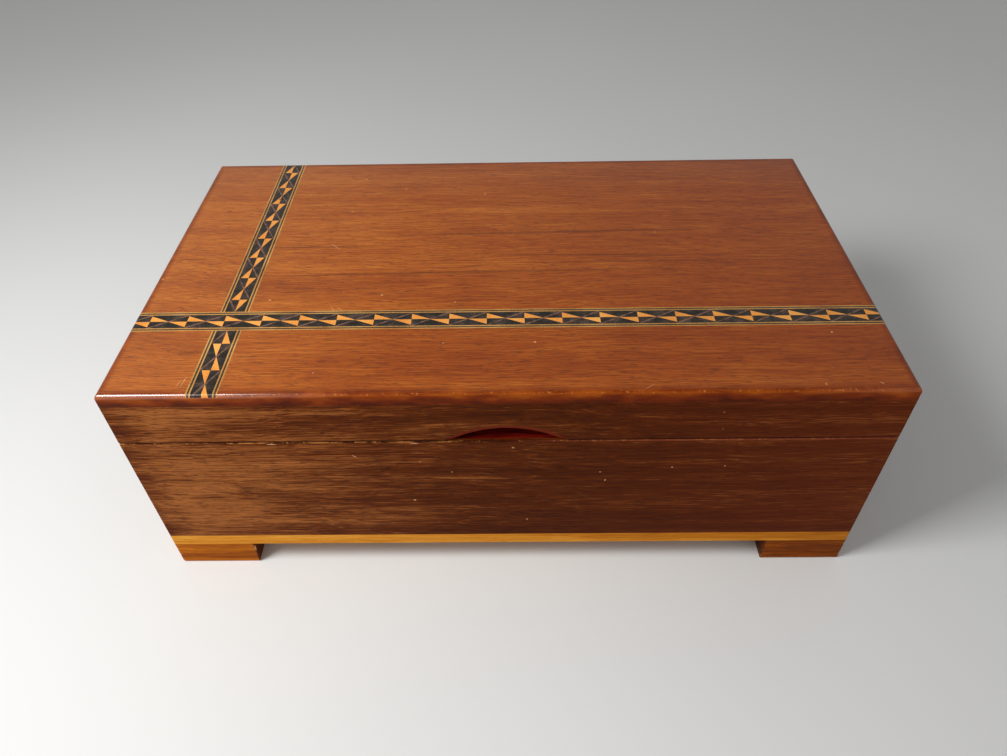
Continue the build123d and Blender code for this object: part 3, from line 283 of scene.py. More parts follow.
def make_long_grain():
    """Wood along its grain, which runs along X: figure, fine streaks, dark lines, open pores."""
    tree, given, out = new_group(
        "long_grain",
        [("Vector", "Vector", None), ("Figure Width", "Float", 9 * mm),
         ("Streak Width", "Float", 0.5 * mm), ("Line Amount", "Float", 0.5),
         ("Pore Amount", "Float", 0.5)],
        ["Figure", "Streaks", "Lines", "Pores", "Height"],
    )
    place = given["Vector"]
    sway = times(tree, noise(tree, place, sway_lumps, 1.0), sway_width)
    ripple = times(tree, stretched_noise(tree, place, ripple_lumps, 1.0), ripple_width)
    sway = plus(tree, sway, ripple)
    swayed = vector_calc(tree, "ADD", place, joined(tree, 0.0, sway, sway))
    across = divided(tree, 1.0, given["Figure Width"])
    figure_lumps = joined(tree, figure_along, across, across)
    figure = stretched_noise(tree, swayed, figure_lumps, 3.0)
    across = divided(tree, 1.0, given["Streak Width"])
    streak_lumps = joined(tree, streaks_along, across, across)
    streaks = stretched_noise(tree, swayed, streak_lumps, 4.0, 0.65)
    lines = stretched_noise(tree, swayed, line_lumps, 2.0)
    least = minus(tree, 0.72, times(tree, given["Line Amount"], 0.2))
    lines = divided(tree, minus(tree, lines, least), 0.16, clamp=True)
    pores = stretched_noise(tree, swayed, pore_lumps, 1.0)
    least = minus(tree, 0.74, times(tree, given["Pore Amount"], 0.2))
    pores = divided(tree, minus(tree, pores, least), 0.10, clamp=True)
    feed(tree, out, {
        "Figure": rescale(tree, figure, 0.30, 0.70),
        "Streaks": rescale(tree, streaks, 0.30, 0.70),
        "Lines": lines, "Pores": pores,
        "Height": minus(tree, times(tree, streaks, 0.5), pores),
    })
    return tree


def make_edge_wear():
    """Rubbed places along the edges of a box-shaped board, from how near two of its faces are."""
    tree, given, out = new_group(
        "edge_wear",
        [("Vector", "Vector", None), ("Centre", "Vector", (0, 0, 0)),
         ("Half Size", "Vector", (1, 1, 1)), ("Width", "Float", 1.5 * mm),
         ("Lump Size", "Float", 3 * mm), ("Amount", "Float", 0.5)],
        ["Wear"],
    )
    away = unsigned_vector(tree, vector_calc(tree, "SUBTRACT", given["Vector"], given["Centre"]))
    x, y, z = split(tree, vector_calc(tree, "SUBTRACT", given["Half Size"], away))
    to_edge = larger(tree, smaller(tree, x, y), smaller(tree, larger(tree, x, y), z))
    near = minus(tree, 1.0, divided(tree, to_edge, given["Width"]), clamp=True)
    lumps = noise(tree, given["Vector"], divided(tree, 1.0, given["Lump Size"]), 3.0, 0.6)
    level = plus(tree, lumps, times(tree, near, 0.25))
    least = minus(tree, 1.0, given["Amount"])
    ragged = times(tree, minus(tree, level, least), 9.0, clamp=True)
    feed(tree, out, {"Wear": times(tree, ragged, near, clamp=True)})
    return tree


def make_dings():
    """Small chips scattered over a surface."""
    tree, given, out = new_group(
        "dings",
        [("Vector", "Vector", None), ("Spacing", "Float", 12 * mm), ("Size", "Float", 0.4 * mm),
         ("Share", "Float", 0.4)],
        ["Chips"],
    )
    wobble = noise(tree, given["Vector"], 1800.0, 1.0)
    per_metre = divided(tree, 1.0, given["Spacing"])
    cells = put(tree, "TexVoronoi", {"Vector": given["Vector"], "Scale": per_metre}).outputs
    reach = divided(tree, given["Size"], given["Spacing"])
    reach = times(tree, reach, plus(tree, wobble, 0.5))
    draw = put(tree, "SeparateColor", {0: cells["Color"]}).outputs[0]
    kept = calc(tree, "GREATER_THAN", given["Share"], draw)
    inside = minus(tree, 1.0, divided(tree, cells["Distance"], reach))
    inside = times(tree, inside, 2.5, clamp=True)
    feed(tree, out, {"Chips": times(tree, inside, kept)})
    return tree


def make_scratch():
    """One straight scratch, or a smudge where it is wide."""
    tree, given, out = new_group(
        "scratch",
        [("Vector", "Vector", None), ("Centre", "Vector", (0, 0, 0)), ("Angle", "Float", 0.0),
         ("Length", "Float", 8 * mm), ("Width", "Float", 0.3 * mm)],
        ["Mark"],
    )
    moved = vector_calc(tree, "SUBTRACT", given["Vector"], given["Centre"])
    inputs = {"Vector": moved, "Angle": given["Angle"]}
    turned = put(tree, "VectorRotate", inputs, rotation_type="Z_AXIS").outputs[0]
    x, y, _ = split(tree, turned)
    uneven = noise(tree, given["Vector"], 700.0, 2.0)
    along = divided(tree, times(tree, unsigned(tree, x), 2.0), given["Length"])
    aside = divided(tree, times(tree, unsigned(tree, y), 2.0), given["Width"])
    far = plus(tree, times(tree, along, along), times(tree, aside, aside))
    feed(tree, out, {"Mark": minus(tree, plus(tree, uneven, 0.5), far, clamp=True)})
    return tree


def make_tarnish():
    """Cloudy dulling and fine brushing on metal."""
    tree, given, out = new_group(
        "tarnish",
        [("Vector", "Vector", None), ("Cloud Size", "Float", 6 * mm)],
        ["Clouds", "Brushing"],
    )
    clouds = noise(tree, given["Vector"], divided(tree, 1.0, given["Cloud Size"]), 4.0, 0.6)
    brushing = stretched_noise(tree, given["Vector"], (300.0, 5000.0, 5000.0))
    feed(tree, out, {"Clouds": rescale(tree, clouds, 0.35, 0.70), "Brushing": brushing})
    return tree


long_grain = make_long_grain()
edge_wear = make_edge_wear()
dings = make_dings()
scratch = make_scratch()
tarnish = make_tarnish()


def new_material(name):
    """A material with its shader, and where each point lies on the piece."""
    material = bpy.data.materials.new(name)
    material.use_nodes = True
    tree = material.node_tree
    shader = tree.nodes["Principled BSDF"]
    place = put(tree, "TexCoord").outputs["Object"]
    return material, tree, shader, place


def set_relief(tree, shader, height, depth):
    """Feeds a height to the shader's normal."""
    bump = put(tree, "Bump", {"Height": height, "Distance": depth, "Strength": 1.0})
    feed(tree, shader, {"Normal": bump.outputs[0]})


def along_grain(tree, place, along, start):
    """Coordinates with the grain along their X, from a start of each board's own."""
    turn = math.radians(90) if along == "y" else 0.0
    inputs = {"Vector": place, "Location": start, "Rotation": (0.0, 0.0, turn)}
    return put(tree, "Mapping", inputs).outputs[0]


def wear_on(tree, place, name, width, lump, amount):
    """Edge wear fitted to one node's own box."""
    centre = (low(name) + high(name)) / 2
    half = (high(name) - low(name)) / 2
    return use(tree, edge_wear, {
        "Vector": place, "Centre": centre, "Half Size": half,
        "Width": width, "Lump Size": lump, "Amount": amount,
    })["Wear"]


def chips_on(tree, place, spacing, size, share):
    """Scattered chips at a spacing and a size, kept at a share of their places."""
    return use(tree, dings, {
        "Vector": place, "Spacing": spacing, "Size": size, "Share": share,
    })["Chips"]


def from_sides(tree, place):
    """How far in from the nearest side of the box each point lies."""
    inward = vector_calc(tree, "SUBTRACT", box_half, unsigned_vector(tree, place))
    x, y, _ = split(tree, inward)
    return smaller(tree, x, y)


# Finishes of the wood

halves = (0.0, 0.5, 1.0)
top_tones = steps(
    (0.0, 0.30, 0.60, 1.0), (88, 30, 6), (128, 55, 12), (152, 74, 18), (184, 106, 36)
)
side_tones = steps(
    (0.0, 0.35, 0.65, 1.0), (52, 18, 3), (72, 28, 4), (94, 42, 9), (156, 92, 44)
)
pale_tones = steps(halves, (150, 80, 10), (192, 118, 25), (226, 160, 60))
foot_tones = steps((0.0, 0.45, 1.0), (66, 24, 2), (124, 57, 4), (190, 106, 8))
inside_tones = steps(halves, (128, 80, 40), (168, 116, 66), (196, 148, 94))
varnish_tones = steps((0.25, 0.50, 0.75), (64, 13, 1), (108, 36, 2), (150, 70, 9))
stain_tones = steps((0.30, 0.55, 0.75), (58, 5, 4), (98, 13, 8), (124, 28, 14))
redder = colour(124, 46, 12)
red_end = colour(98, 36, 12)
left_sheen = colour(214, 156, 100)
rear_sheen = colour(132, 92, 72)
chip_colour = colour(222, 166, 118)
rubbed_gold = colour(228, 150, 76)
gold_chip = colour(172, 108, 52)
dark_mark_and_shade = colour(46, 16, 10)
shadow_line = colour(34, 8, 4)
seam_red = colour(150, 72, 52)
bevel_colour = colour(120, 38, 18)
top_gloss = 0.06
top_coat = 0.20
side_gloss = 0.03
plain_coat = 0.02
varnish_roughness = 0.14
edge_varnish_roughness = 0.16
edge_varnish_ior = 1.6
grain_relief = 0.05 * mm


def wood(name, tones, start, along="x", figure=9 * mm, streak=0.5 * mm, lines=0.5, pores=0.5,
         figure_share=0.5, marking=0.5, lift=None, gloss=side_gloss):
    """A varnished board: its tone from the grain and any lift, its pores darker and sunk."""
    material, tree, shader, place = new_material(name)
    grain = use(tree, long_grain, {
        "Vector": along_grain(tree, place, along, start), "Figure Width": figure,
        "Streak Width": streak, "Line Amount": lines, "Pore Amount": pores,
    })
    tone = plus(
        tree, times(tree, grain["Figure"], figure_share),
        times(tree, grain["Streaks"], 1.0 - figure_share),
    )
    if lift:
        tone = plus(tree, tone, lift(tree, place))
    shade = ramp(tree, tone, tones)
    for label in ("Lines", "Pores"):
        shade = mix(tree, times(tree, grain[label], marking), shade, dark_mark_and_shade)
    set_relief(tree, shader, grain["Height"], grain_relief)
    feed(tree, shader, {
        "Roughness": rescale(tree, grain["Streaks"], 0.0, 1.0, 0.40, 0.50),
        "Specular IOR Level": gloss,
        "Coat Roughness": varnish_roughness,
    })
    return material, tree, shader, place, shade


def marked(tree, place, shade, marks, paint, strength, level):
    """Lays straight marks, each x, y, turn, length and width in millimetres, over a shade."""
    worn = None
    for x, y, turn, length, width in marks:
        mark = use(tree, scratch, {
            "Vector": place, "Centre": (x * mm, y * mm, level), "Angle": -math.radians(turn),
            "Length": length * mm, "Width": width * mm,
        })["Mark"]
        worn = mark if worn is None else larger(tree, worn, mark)
    return mix(tree, times(tree, worn, strength), shade, paint)


# The lid's top board. A fade is a first and a last place, with the strength at each

top_scratches = (
    (-105.4, -69.0, 80, 6.0, 0.35), (-106.8, -70.0, 72, 4.0, 0.3),
    (-61.8, -33.6, -62, 8.5, 0.35), (-60.0, -32.2, -48, 5.0, 0.3),
    (-67.8, 7.5, -45, 8.0, 0.3), (46.2, -73.8, 32, 6.0, 0.35),
    (120.9, -73.0, -50, 2.2, 0.5), (-9.0, 46.9, 60, 2.4, 0.5),
)
top_chips = (
    (-86.7, -26.4, 0, 1.0, 0.8), (-45.6, -24.2, 0, 1.1, 0.9), (-18.3, -28.8, 0, 0.9, 0.7),
    (-21.3, -51.4, 0, 0.8, 0.7), (10.2, -51.4, 0, 1.2, 1.0), (112.5, -47.7, 0, 1.1, 1.0),
    (60.6, 15.5, 0, 0.9, 0.7), (-63.5, -65.8, 0, 1.0, 0.6),
)
top_dark_marks = (
    (-124.1, 0.0, 0, 22, 0.9), (20.0, 16.5, 1, 150, 2.2), (35.0, 0.0, -1, 130, 1.2),
    (50.0, -4.5, 0, 160, 1.0), (-20.0, -10.5, 1, 190, 1.6), (-75.0, 7.5, 0, 60, 1.2),
    (-108.0, -55.2, 2, 11, 3.4),
)
patch_place = (-0.055, 0.020, top_level)
patch_shape = (9.0, 14.0, 0.0)
patch_fade = (0.1, 1.5, 0.22, 0.02)
redder_fade = (-20 * mm, 110 * mm, 0.0, 0.20)
left_sheen_fade = (-130 * mm, -40 * mm, 0.09, 0.0)
rear_sheen_fade = (45 * mm, 76 * mm, 0.0, 0.20)
border_fade = (1.2 * mm, 3.4 * mm, 0.75, 0.0)
rounded_fade = (0.2 * mm, 1.2 * mm, 0.0, 1.0)
orange_rise = (0.0, 0.8 * mm, -0.05, 0.14)
dark_fall = (0.8 * mm, 4.2 * mm, 0.14, -0.17)
rubbed_fade = (1.4 * mm, 2.0 * mm, 1.0, 0.0)
coat_above = (0.0, 0.2 * mm, 0.0, 1.0)
coat_below = (1.1 * mm, 1.6 * mm, 1.0, 0.0)
coat_at_left = (-88 * mm, -50 * mm, 1.0, 0.0)
coat_at_right = (92 * mm, 126 * mm, 0.0, 0.5)
coat_on_flat = (0.02 * mm, 0.20 * mm, top_coat, 0.0)


def golden_patch(tree, place):
    """The top is lighter and more golden left of its middle."""
    away = vector_calc(tree, "SUBTRACT", place, patch_place)
    away = vector_calc(tree, "MULTIPLY", away, patch_shape)
    away = put(tree, "VectorMath", {0: away}, operation="LENGTH").outputs["Value"]
    blotches = stretched_noise(tree, place, (14.0, 40.0, 0.0))
    return plus(
        tree, rescale(tree, away, *patch_fade), rescale(tree, blotches, 0.3, 0.7, -0.10, 0.08)
    )


def edge_varnish(tree, place, depth):
    """The thick varnish of the rounded edge, orange above and dark below."""
    blotches = stretched_noise(tree, place, (90.0, 90.0, 250.0), 3.0)
    rise = rescale(tree, depth, *orange_rise)
    rise = smaller(tree, rise, rescale(tree, depth, *dark_fall))
    return ramp(tree, plus(tree, blotches, rise), varnish_tones)


def lid_coat(tree, x, depth):
    """The shine of the varnish: on the ends of the rounded edge, and a little on the flat."""
    rounded = smaller(tree, rescale(tree, depth, *coat_above), rescale(tree, depth, *coat_below))
    ends = larger(tree, rescale(tree, x, *coat_at_left), rescale(tree, x, *coat_at_right))
    return larger(tree, times(tree, rounded, ends), rescale(tree, depth, *coat_on_flat))


def mahogany_top():
    """The lid's top board, with its darker stripes, smudge, scratches and chips, and painted
    reflections towards its left and its rear.
    """
    material, tree, shader, place, shade = wood(
        "mahogany_top", top_tones, (0.31, 0.07, 0.0), figure=9 * mm, streak=0.45 * mm,
        lines=0.65, pores=0.70, figure_share=0.34, lift=golden_patch, gloss=top_gloss,
    )
    x, y, z = split(tree, place)
    shade = mix(tree, rescale(tree, x, *redder_fade), shade, redder)
    # Painted reflection: a pale golden sheen mixed in towards the top's left end
    shade = mix(tree, rescale(tree, x, *left_sheen_fade), shade, left_sheen)
    # Painted reflection of the pale surroundings: the top turns greyer towards its rear
    shade = mix(tree, rescale(tree, y, *rear_sheen_fade), shade, rear_sheen)
    shade = marked(tree, place, shade, top_dark_marks, dark_mark_and_shade, 0.42, top_level)
    shade = marked(tree, place, shade, top_chips, chip_colour, 0.75, top_level)
    shade = marked(tree, place, shade, top_scratches, chip_colour, 0.65, top_level)
    depth = minus(tree, top_level, z)
    border = rescale(tree, from_sides(tree, place), *border_fade)
    edge = larger(tree, rescale(tree, depth, *rounded_fade), border)
    shade = mix(tree, times(tree, edge, 0.9), shade, edge_varnish(tree, place, depth))
    rubbed = wear_on(tree, place, "lid_top_board", 2.0 * mm, 0.8 * mm, 0.25)
    rubbed = times(tree, rubbed, rescale(tree, depth, *rubbed_fade))
    specks = chips_on(tree, place, 11 * mm, 0.5 * mm, 0.55)
    shade = mix(tree, times(tree, larger(tree, rubbed, specks), 0.5), shade, rubbed_gold)
    feed(tree, shader, {
        "Base Color": shade,
        "Coat Weight": lid_coat(tree, x, depth),
        "Coat IOR": edge_varnish_ior,
        "Coat Roughness": edge_varnish_roughness,
    })
    return material


# The walls of the case and the rails of the lid. A pale band is its height and its two strengths

pale_bands = ((66 * mm, 0.09, 0.06), (38 * mm, 0.14, 0.0))
band_reach = (-0.100, 0.010)
band_fade = (2 * mm, 7 * mm, 1.0, 0.0)
front_chips = (
    (-34.3, 40.3, 0, 1.3, 1.0), (7.4, 27.9, 80, 1.4, 0.6), (35.3, 51.3, 75, 1.4, 0.6),
    (58.4, 58.3, 0, 0.9, 0.7), (76.9, 58.7, 0, 0.8, 0.7), (33.2, 55.9, 0, 0.8, 0.6),
    (-19.5, 56.5, 0, 0.7, 0.6), (-30.3, 62.2, 0, 0.7, 0.6), (-53.0, 65.5, -40, 2.6, 0.5),
    (2.4, 69.4, 0, 1.1, 0.9), (-80.5, 72.1, 0, 4.5, 0.6), (-31.4, 72.1, 0, 3.6, 0.6),
)
front_left_fade = (-0.130, -0.006, 0.44, -0.02)
front_corner_fade = (-0.133, -0.117, 0.16, 0.44)
front_right_fade = (0.050, 0.130, 0.0, 0.10)
red_end_fade = (10 * mm, 120 * mm, 0.0, 0.35)
low_board_fade = (-0.130, 0.120, 0.22, -0.14)

# Around the seam, measured up or down from it, or in from the outer face

notch_half = 23 * mm
rim_fade = (0.45 * mm, 0.75 * mm, 1.0, 0.0)
rim_start = (1.1 * mm, 1.5 * mm, 0.0, 1.0)
bevel_start = (0.10 * mm, 0.16 * mm, 0.0, 0.75)
outer_fade = (0.4 * mm, 0.8 * mm, 1.0, 0.0)
lid_line_fade = (0.70 * mm, 1.05 * mm, 0.85, 0.0)
wall_line_fade = (0.30 * mm, 0.60 * mm, 1.0, 0.0)

# Along the seam, from left to right

golden_fade = (-0.12, 0.06, 0.01, -0.09)
dark_fade = (0.0, 30 * mm, 0.6, 0.25)
reddened_fade = (0.0, 40 * mm, 0.0, 0.40)
worn_fade = (-60 * mm, 20 * mm, 1.0, 0.5)


def lit_front(tree, place):
    """The front is paler towards its ends, the left one with painted light and reflection from
    the lamp there; it also has two paler bands and long patches.
    """
    x, _, z = split(tree, place)
    # Painted light and reflection: paler towards the left end, a little less at the very corner
    lift = rescale(tree, x, *front_left_fade)
    lift = smaller(tree, lift, rescale(tree, x, *front_corner_fade))
    lift = plus(tree, lift, rescale(tree, x, *front_right_fade))
    for level, at_left, at_right in pale_bands:
        off = unsigned(tree, minus(tree, z, level))
        strength = rescale(tree, x, *band_reach, at_left, at_right)
        lift = plus(tree, lift, times(tree, rescale(tree, off, *band_fade), strength))
    blotches = stretched_noise(tree, place, (16.0, 0.0, 70.0), 3.0)
    return plus(tree, lift, rescale(tree, blotches, 0.3, 0.7, -0.12, 0.08))


def stain_rim(tree, place, board, shade, depth, from_seam):
    """The red stain on the rims of case and lid, and in the thumb notch with its bevel."""
    rim = rescale(tree, from_seam, *rim_fade)
    if board == "lid_front_rail":
        notch = calc(tree, "LESS_THAN", unsigned(tree, split(tree, place)[0]), notch_half)
        rim = larger(tree, rim, notch)
        bevel = times(tree, notch, rescale(tree, depth, *bevel_start))
        shade = mix(tree, bevel, shade, bevel_colour)
    stain = ramp(tree, stretched_noise(tree, place, (120.0, 1500.0, 1500.0), 3.0), stain_tones)
    return mix(tree, times(tree, rim, rescale(tree, depth, *rim_start)), shade, stain)


def line_seam(tree, place, board, shade, depth, from_seam):
    """The seam's painted shadow line on the lid and along the case's top edge, and its broken
    golden and reddish line on the case.
    """
    outer = rescale(tree, depth, *outer_fade)
    if "lid" in board:
        # Painted shadow of the seam gap along the lid's lower edge
        line = times(tree, rescale(tree, from_seam, *lid_line_fade), outer)
        return mix(tree, line, shade, shadow_line)
    x = split(tree, place)[0]
    line = times(tree, rescale(tree, from_seam, *wall_line_fade), outer)
    # Painted shadow of the seam gap on the case's top edge, stronger left of the middle
    shade = mix(tree, times(tree, line, rescale(tree, x, *dark_fade)), shade, shadow_line)
    shade = mix(tree, times(tree, line, rescale(tree, x, *reddened_fade)), shade, seam_red)
    broken = stretched_noise(tree, place, (110.0, 110.0, 500.0), 3.0, 0.6)
    broken = plus(tree, broken, rescale(tree, x, *golden_fade))
    golden = times(tree, line, rescale(tree, broken, 0.46, 0.60, 0.0, 0.8))
    return mix(tree, golden, shade, gold_chip)


def walnut(name, board, start, along="x"):
    """A wall or a rail of the case, its seam edge worn and lined with painted shadow, its thumb
    notch stained red, its front paler at the left with painted light.
    """
    on_front = "front" in board
    material, tree, shader, place, shade = wood(
        name, side_tones, start, along, figure=5 * mm, streak=0.4 * mm, lines=0.85, pores=0.75,
        figure_share=0.32, marking=0.6, lift=lit_front if on_front else None,
    )
    x, _, z = split(tree, place)
    if on_front:
        shade = mix(tree, rescale(tree, x, *red_end_fade), shade, red_end)
    if board == "front_board":
        flat = joined(tree, x, z, 0.0)
        shade = marked(tree, flat, shade, front_chips, chip_colour, 0.8, 0.0)
    depth = from_sides(tree, place)
    from_seam = unsigned(tree, minus(tree, z, seam))
    shade = stain_rim(tree, place, board, shade, depth, from_seam)
    shade = line_seam(tree, place, board, shade, depth, from_seam)
    glued = high(board).z if "lid" in board else low(board).z
    from_glued = unsigned(tree, minus(tree, z, glued))
    worn = wear_on(tree, place, board, 0.7 * mm, 1.6 * mm, 0.26)
    worn = times(tree, worn, rescale(tree, from_glued, 1.0 * mm, 2.0 * mm))
    worn = times(tree, worn, rescale(tree, x, *worn_fade))
    shade = mix(tree, times(tree, worn, 0.55), shade, rubbed_gold)
    specks = chips_on(tree, place, 14 * mm, 0.45 * mm, 0.45)
    shade = mix(tree, times(tree, specks, 0.55), shade, chip_colour)
    feed(tree, shader, {"Base Color": shade})
    return material


# The low boards: base and feet


def lit_end(tree, place):
    """Painted light and shade: the low boards are paler towards the left end, like the front, and
    darker towards the right.
    """
    return rescale(tree, split(tree, place)[0], *low_board_fade)


def foot_marks(tree, place, board, shade):
    """A foot's painted shade on its inner end, which leans in under the box, and its rubbed edges
    below the base board.
    """
    x, _, z = split(tree, place)
    inner = min(abs(low(board).x), abs(high(board).x)) + 0.7 * mm
    # Painted shade on the inner end, which stands in the shadow under the box
    dark = rescale(tree, unsigned(tree, x), inner, inner + 0.2 * mm, 0.75, 0.0)
    shade = mix(tree, dark, shade, dark_mark_and_shade)
    upper = high(board).z
    worn = wear_on(tree, place, board, 1.6 * mm, 1.3 * mm, 0.30)
    worn = times(tree, worn, rescale(tree, z, upper - 2 * mm, upper - mm, 1.0, 0.0))
    return mix(tree, times(tree, worn, 0.7), shade, chip_colour)


def plain_wood(name, tones, start, along="x", foot=None, **grain_sizes):
    """A board with grain alone, or a foot where one is named."""
    material, tree, shader, place, shade = wood(name, tones, start, along, **grain_sizes)
    if foot:
        shade = foot_marks(tree, place, foot, shade)
    feed(tree, shader, {"Base Color": shade, "Coat Weight": plain_coat})
    return material


# Finishes of the banding, whose pattern repeats from a start of its own on each length

core_half = 3.6 * mm
long_band_y = -38.4 * mm
cross_band_x = -98.0 * mm
repeat = 13.4 * mm
long_start = -127.15 * mm
front_start = -64.0 * mm
rear_start = -26.1 * mm
ground_tones = steps((0.36, 0.50, 0.66), (20, 17, 13), (38, 33, 27), (80, 62, 54))
glue_colour = colour(136, 96, 78)
fibre_lumps = (1700.0, 1500.0, 1500.0)
ground_fibre_lumps = (2200.0, 1500.0, 1500.0)
banding_coat = top_coat * 1.3
banding_relief = 0.02 * mm


def diagonal(tree, along, aside, lean):
    """A thin line from corner to corner of each repeat, leaning one way or the other."""
    turns = calc(tree, "FRACT", divided(tree, along, repeat))
    rise = times(tree, minus(tree, times(tree, turns, 2.0), 1.0), lean)
    off = unsigned(tree, minus(tree, divided(tree, aside, core_half), rise))
    return minus(tree, 1.5, divided(tree, off, 0.09), clamp=True)


def glue_lines(tree, place):
    """The thin glue line across each repeat, on the long band and on both cross bands."""
    x, y, _ = split(tree, place)
    from_long = minus(tree, y, long_band_y)
    from_cross = minus(tree, x, cross_band_x)
    long_line = diagonal(tree, minus(tree, x, long_start), from_long, 1.0)
    front_line = diagonal(tree, minus(tree, y, front_start), from_cross, 1.0)
    rear_line = diagonal(tree, minus(tree, y, rear_start), from_cross, -1.0)
    in_long = calc(tree, "LESS_THAN", unsigned(tree, from_long), core_half * 1.05)
    in_front = calc(tree, "LESS_THAN", from_long, 0.0)
    return choose(tree, in_long, choose(tree, in_front, rear_line, front_line), long_line)


def varnish_banding(tree, shader, shade, fibres):
    """The varnish that all four veneers of the banding share."""
    set_relief(tree, shader, fibres, banding_relief)
    feed(tree, shader, {
        "Base Color": shade,
        "Roughness": rescale(tree, fibres, 0.3, 0.7, 0.32, 0.42),
        "Specular IOR Level": top_gloss,
        "Coat Weight": banding_coat,
        "Coat Roughness": varnish_roughness,
    })


def banding_ground():
    """Charcoal veneer between the triangles."""
    material, tree, shader, place = new_material("banding_ground")
    patches = noise(tree, place, 260.0, 2.0)
    fibres = stretched_noise(tree, place, ground_fibre_lumps)
    tone = plus(tree, times(tree, patches, 0.6), times(tree, fibres, 0.4))
    shade = ramp(tree, tone, ground_tones)
    broken = rescale(tree, noise(tree, place, 500.0, 1.0), 0.35, 0.6, 0.2, 0.8)
    shade = mix(tree, times(tree, glue_lines(tree, place), broken), shade, glue_colour)
    varnish_banding(tree, shader, shade, fibres)
    return material


def banding_wood(name, *shades):
    """A light or a dark veneer of the banding."""
    material, tree, shader, place = new_material(name)
    fibres = stretched_noise(tree, place, fibre_lumps, 3.0)
    patches = noise(tree, place, 90.0, 2.0)
    tone = plus(tree, times(tree, fibres, 0.5), times(tree, patches, 0.5))
    shade = ramp(tree, rescale(tree, tone, 0.32, 0.68), steps(halves, *shades))
    chips = chips_on(tree, place, 9 * mm, 0.8 * mm, 0.3)
    shade = mix(tree, times(tree, chips, 0.6), shade, dark_mark_and_shade)
    varnish_banding(tree, shader, shade, fibres)
    return material


# Finishes of metal, glass and cloth


def metal(name, bright, dull, smooth, cloud=7 * mm):
    """Metal that has dulled in clouds."""
    material, tree, shader, place = new_material(name)
    marks = use(tree, tarnish, {"Vector": place, "Cloud Size": cloud})
    shade = mix(tree, times(tree, marks["Clouds"], 0.8), colour(*bright), colour(*dull))
    set_relief(tree, shader, marks["Brushing"], 0.01 * mm)
    feed(tree, shader, {
        "Base Color": shade,
        "Roughness": rescale(tree, marks["Clouds"], 0.0, 1.0, smooth, smooth + 0.16),
        "Metallic": 1.0,
    })
    return material


def clear_glass():
    """The glass over the movement, faintly smeared."""
    material, tree, shader, place = new_material("clear_glass")
    smears = noise(tree, place, 60.0, 3.0)
    feed(tree, shader, {
        "Base Color": ramp(tree, smears, steps((0.0, 1.0), (240, 247, 245), (226, 238, 236))),
        "Roughness": rescale(tree, smears, 0.45, 0.75, 0.01, 0.09),
        "Transmission Weight": 1.0,
        "IOR": 1.5,
    })
    return material


def mirror_silver():
    """The mirror in the lid, with a few foxed specks."""
    material, tree, shader, place = new_material("mirror_silver")
    specks = chips_on(tree, place, 14 * mm, 0.7 * mm, 0.35)
    smears = noise(tree, place, 45.0, 3.0)
    feed(tree, shader, {
        "Base Color": mix(tree, specks, colour(238, 240, 240), colour(120, 112, 100)),
        "Roughness": rescale(tree, smears, 0.5, 0.8, 0.015, 0.07),
        "Metallic": 1.0,
    })
    return material


def velvet():
    """Short-piled wine-red velvet, brushed in patches."""
    material, tree, shader, place = new_material("velvet")
    brushed = noise(tree, place, 70.0, 3.0)
    pile = noise(tree, place, 3200.0, 2.0)
    tone = plus(tree, times(tree, brushed, 0.45), times(tree, pile, 0.55))
    tones = steps(halves, (76, 9, 20), (104, 16, 30), (132, 28, 44))
    set_relief(tree, shader, pile, 0.12 * mm)
    feed(tree, shader, {
        "Base Color": ramp(tree, rescale(tree, tone, 0.32, 0.68), tones),
        "Roughness": rescale(tree, pile, 0.3, 0.7, 0.85, 1.0),
        "Sheen Weight": 0.6,
        "Sheen Roughness": 0.4,
        "Sheen Tint": colour(220, 120, 130),
        "Specular IOR Level": 0.2,
    })
    return material


# Which node gets which finish

wall_nodes = (
    "front_board", "back_board", "left_end_board", "right_end_board",
    "lid_front_rail", "lid_back_rail", "lid_left_rail", "lid_right_rail",
)
foot_nodes = ("foot_front_left", "foot_front_right", "foot_back_left", "foot_back_right")
side_partition_nodes = ("movement_side_partition", "glass_ledges")
brass_nodes = (
    "bedplate", "spring_barrel", "barrel_cover", "barrel_bridge", "music_cylinder",
    "cylinder_wheel", "governor_frame", "governor_arbor", "governor_fan",
    "left_bearing_bracket", "right_bearing_bracket", "winding_key", "stop_pin",
)
old_brass_nodes = (
    "case_hinge_leaves", "lid_hinge_leaves", "hinge_pins", "case_hinge_screws",
    "lid_hinge_screws", "base_screws",
)
steel_nodes = (
    "bedplate_screws", "movement_screws", "comb_screws", "clutch_spring", "comb",
    "cylinder_arbor", "cylinder_pins", "governor_worm", "lever_stud", "mainspring",
    "stop_lever", "winding_arbor",
)


def dress(names, material):
    """Gives a finish to nodes of the frame."""
    for name in names:
        mesh = nodes[name].data
        mesh.materials.clear()
        mesh.materials.append(material)


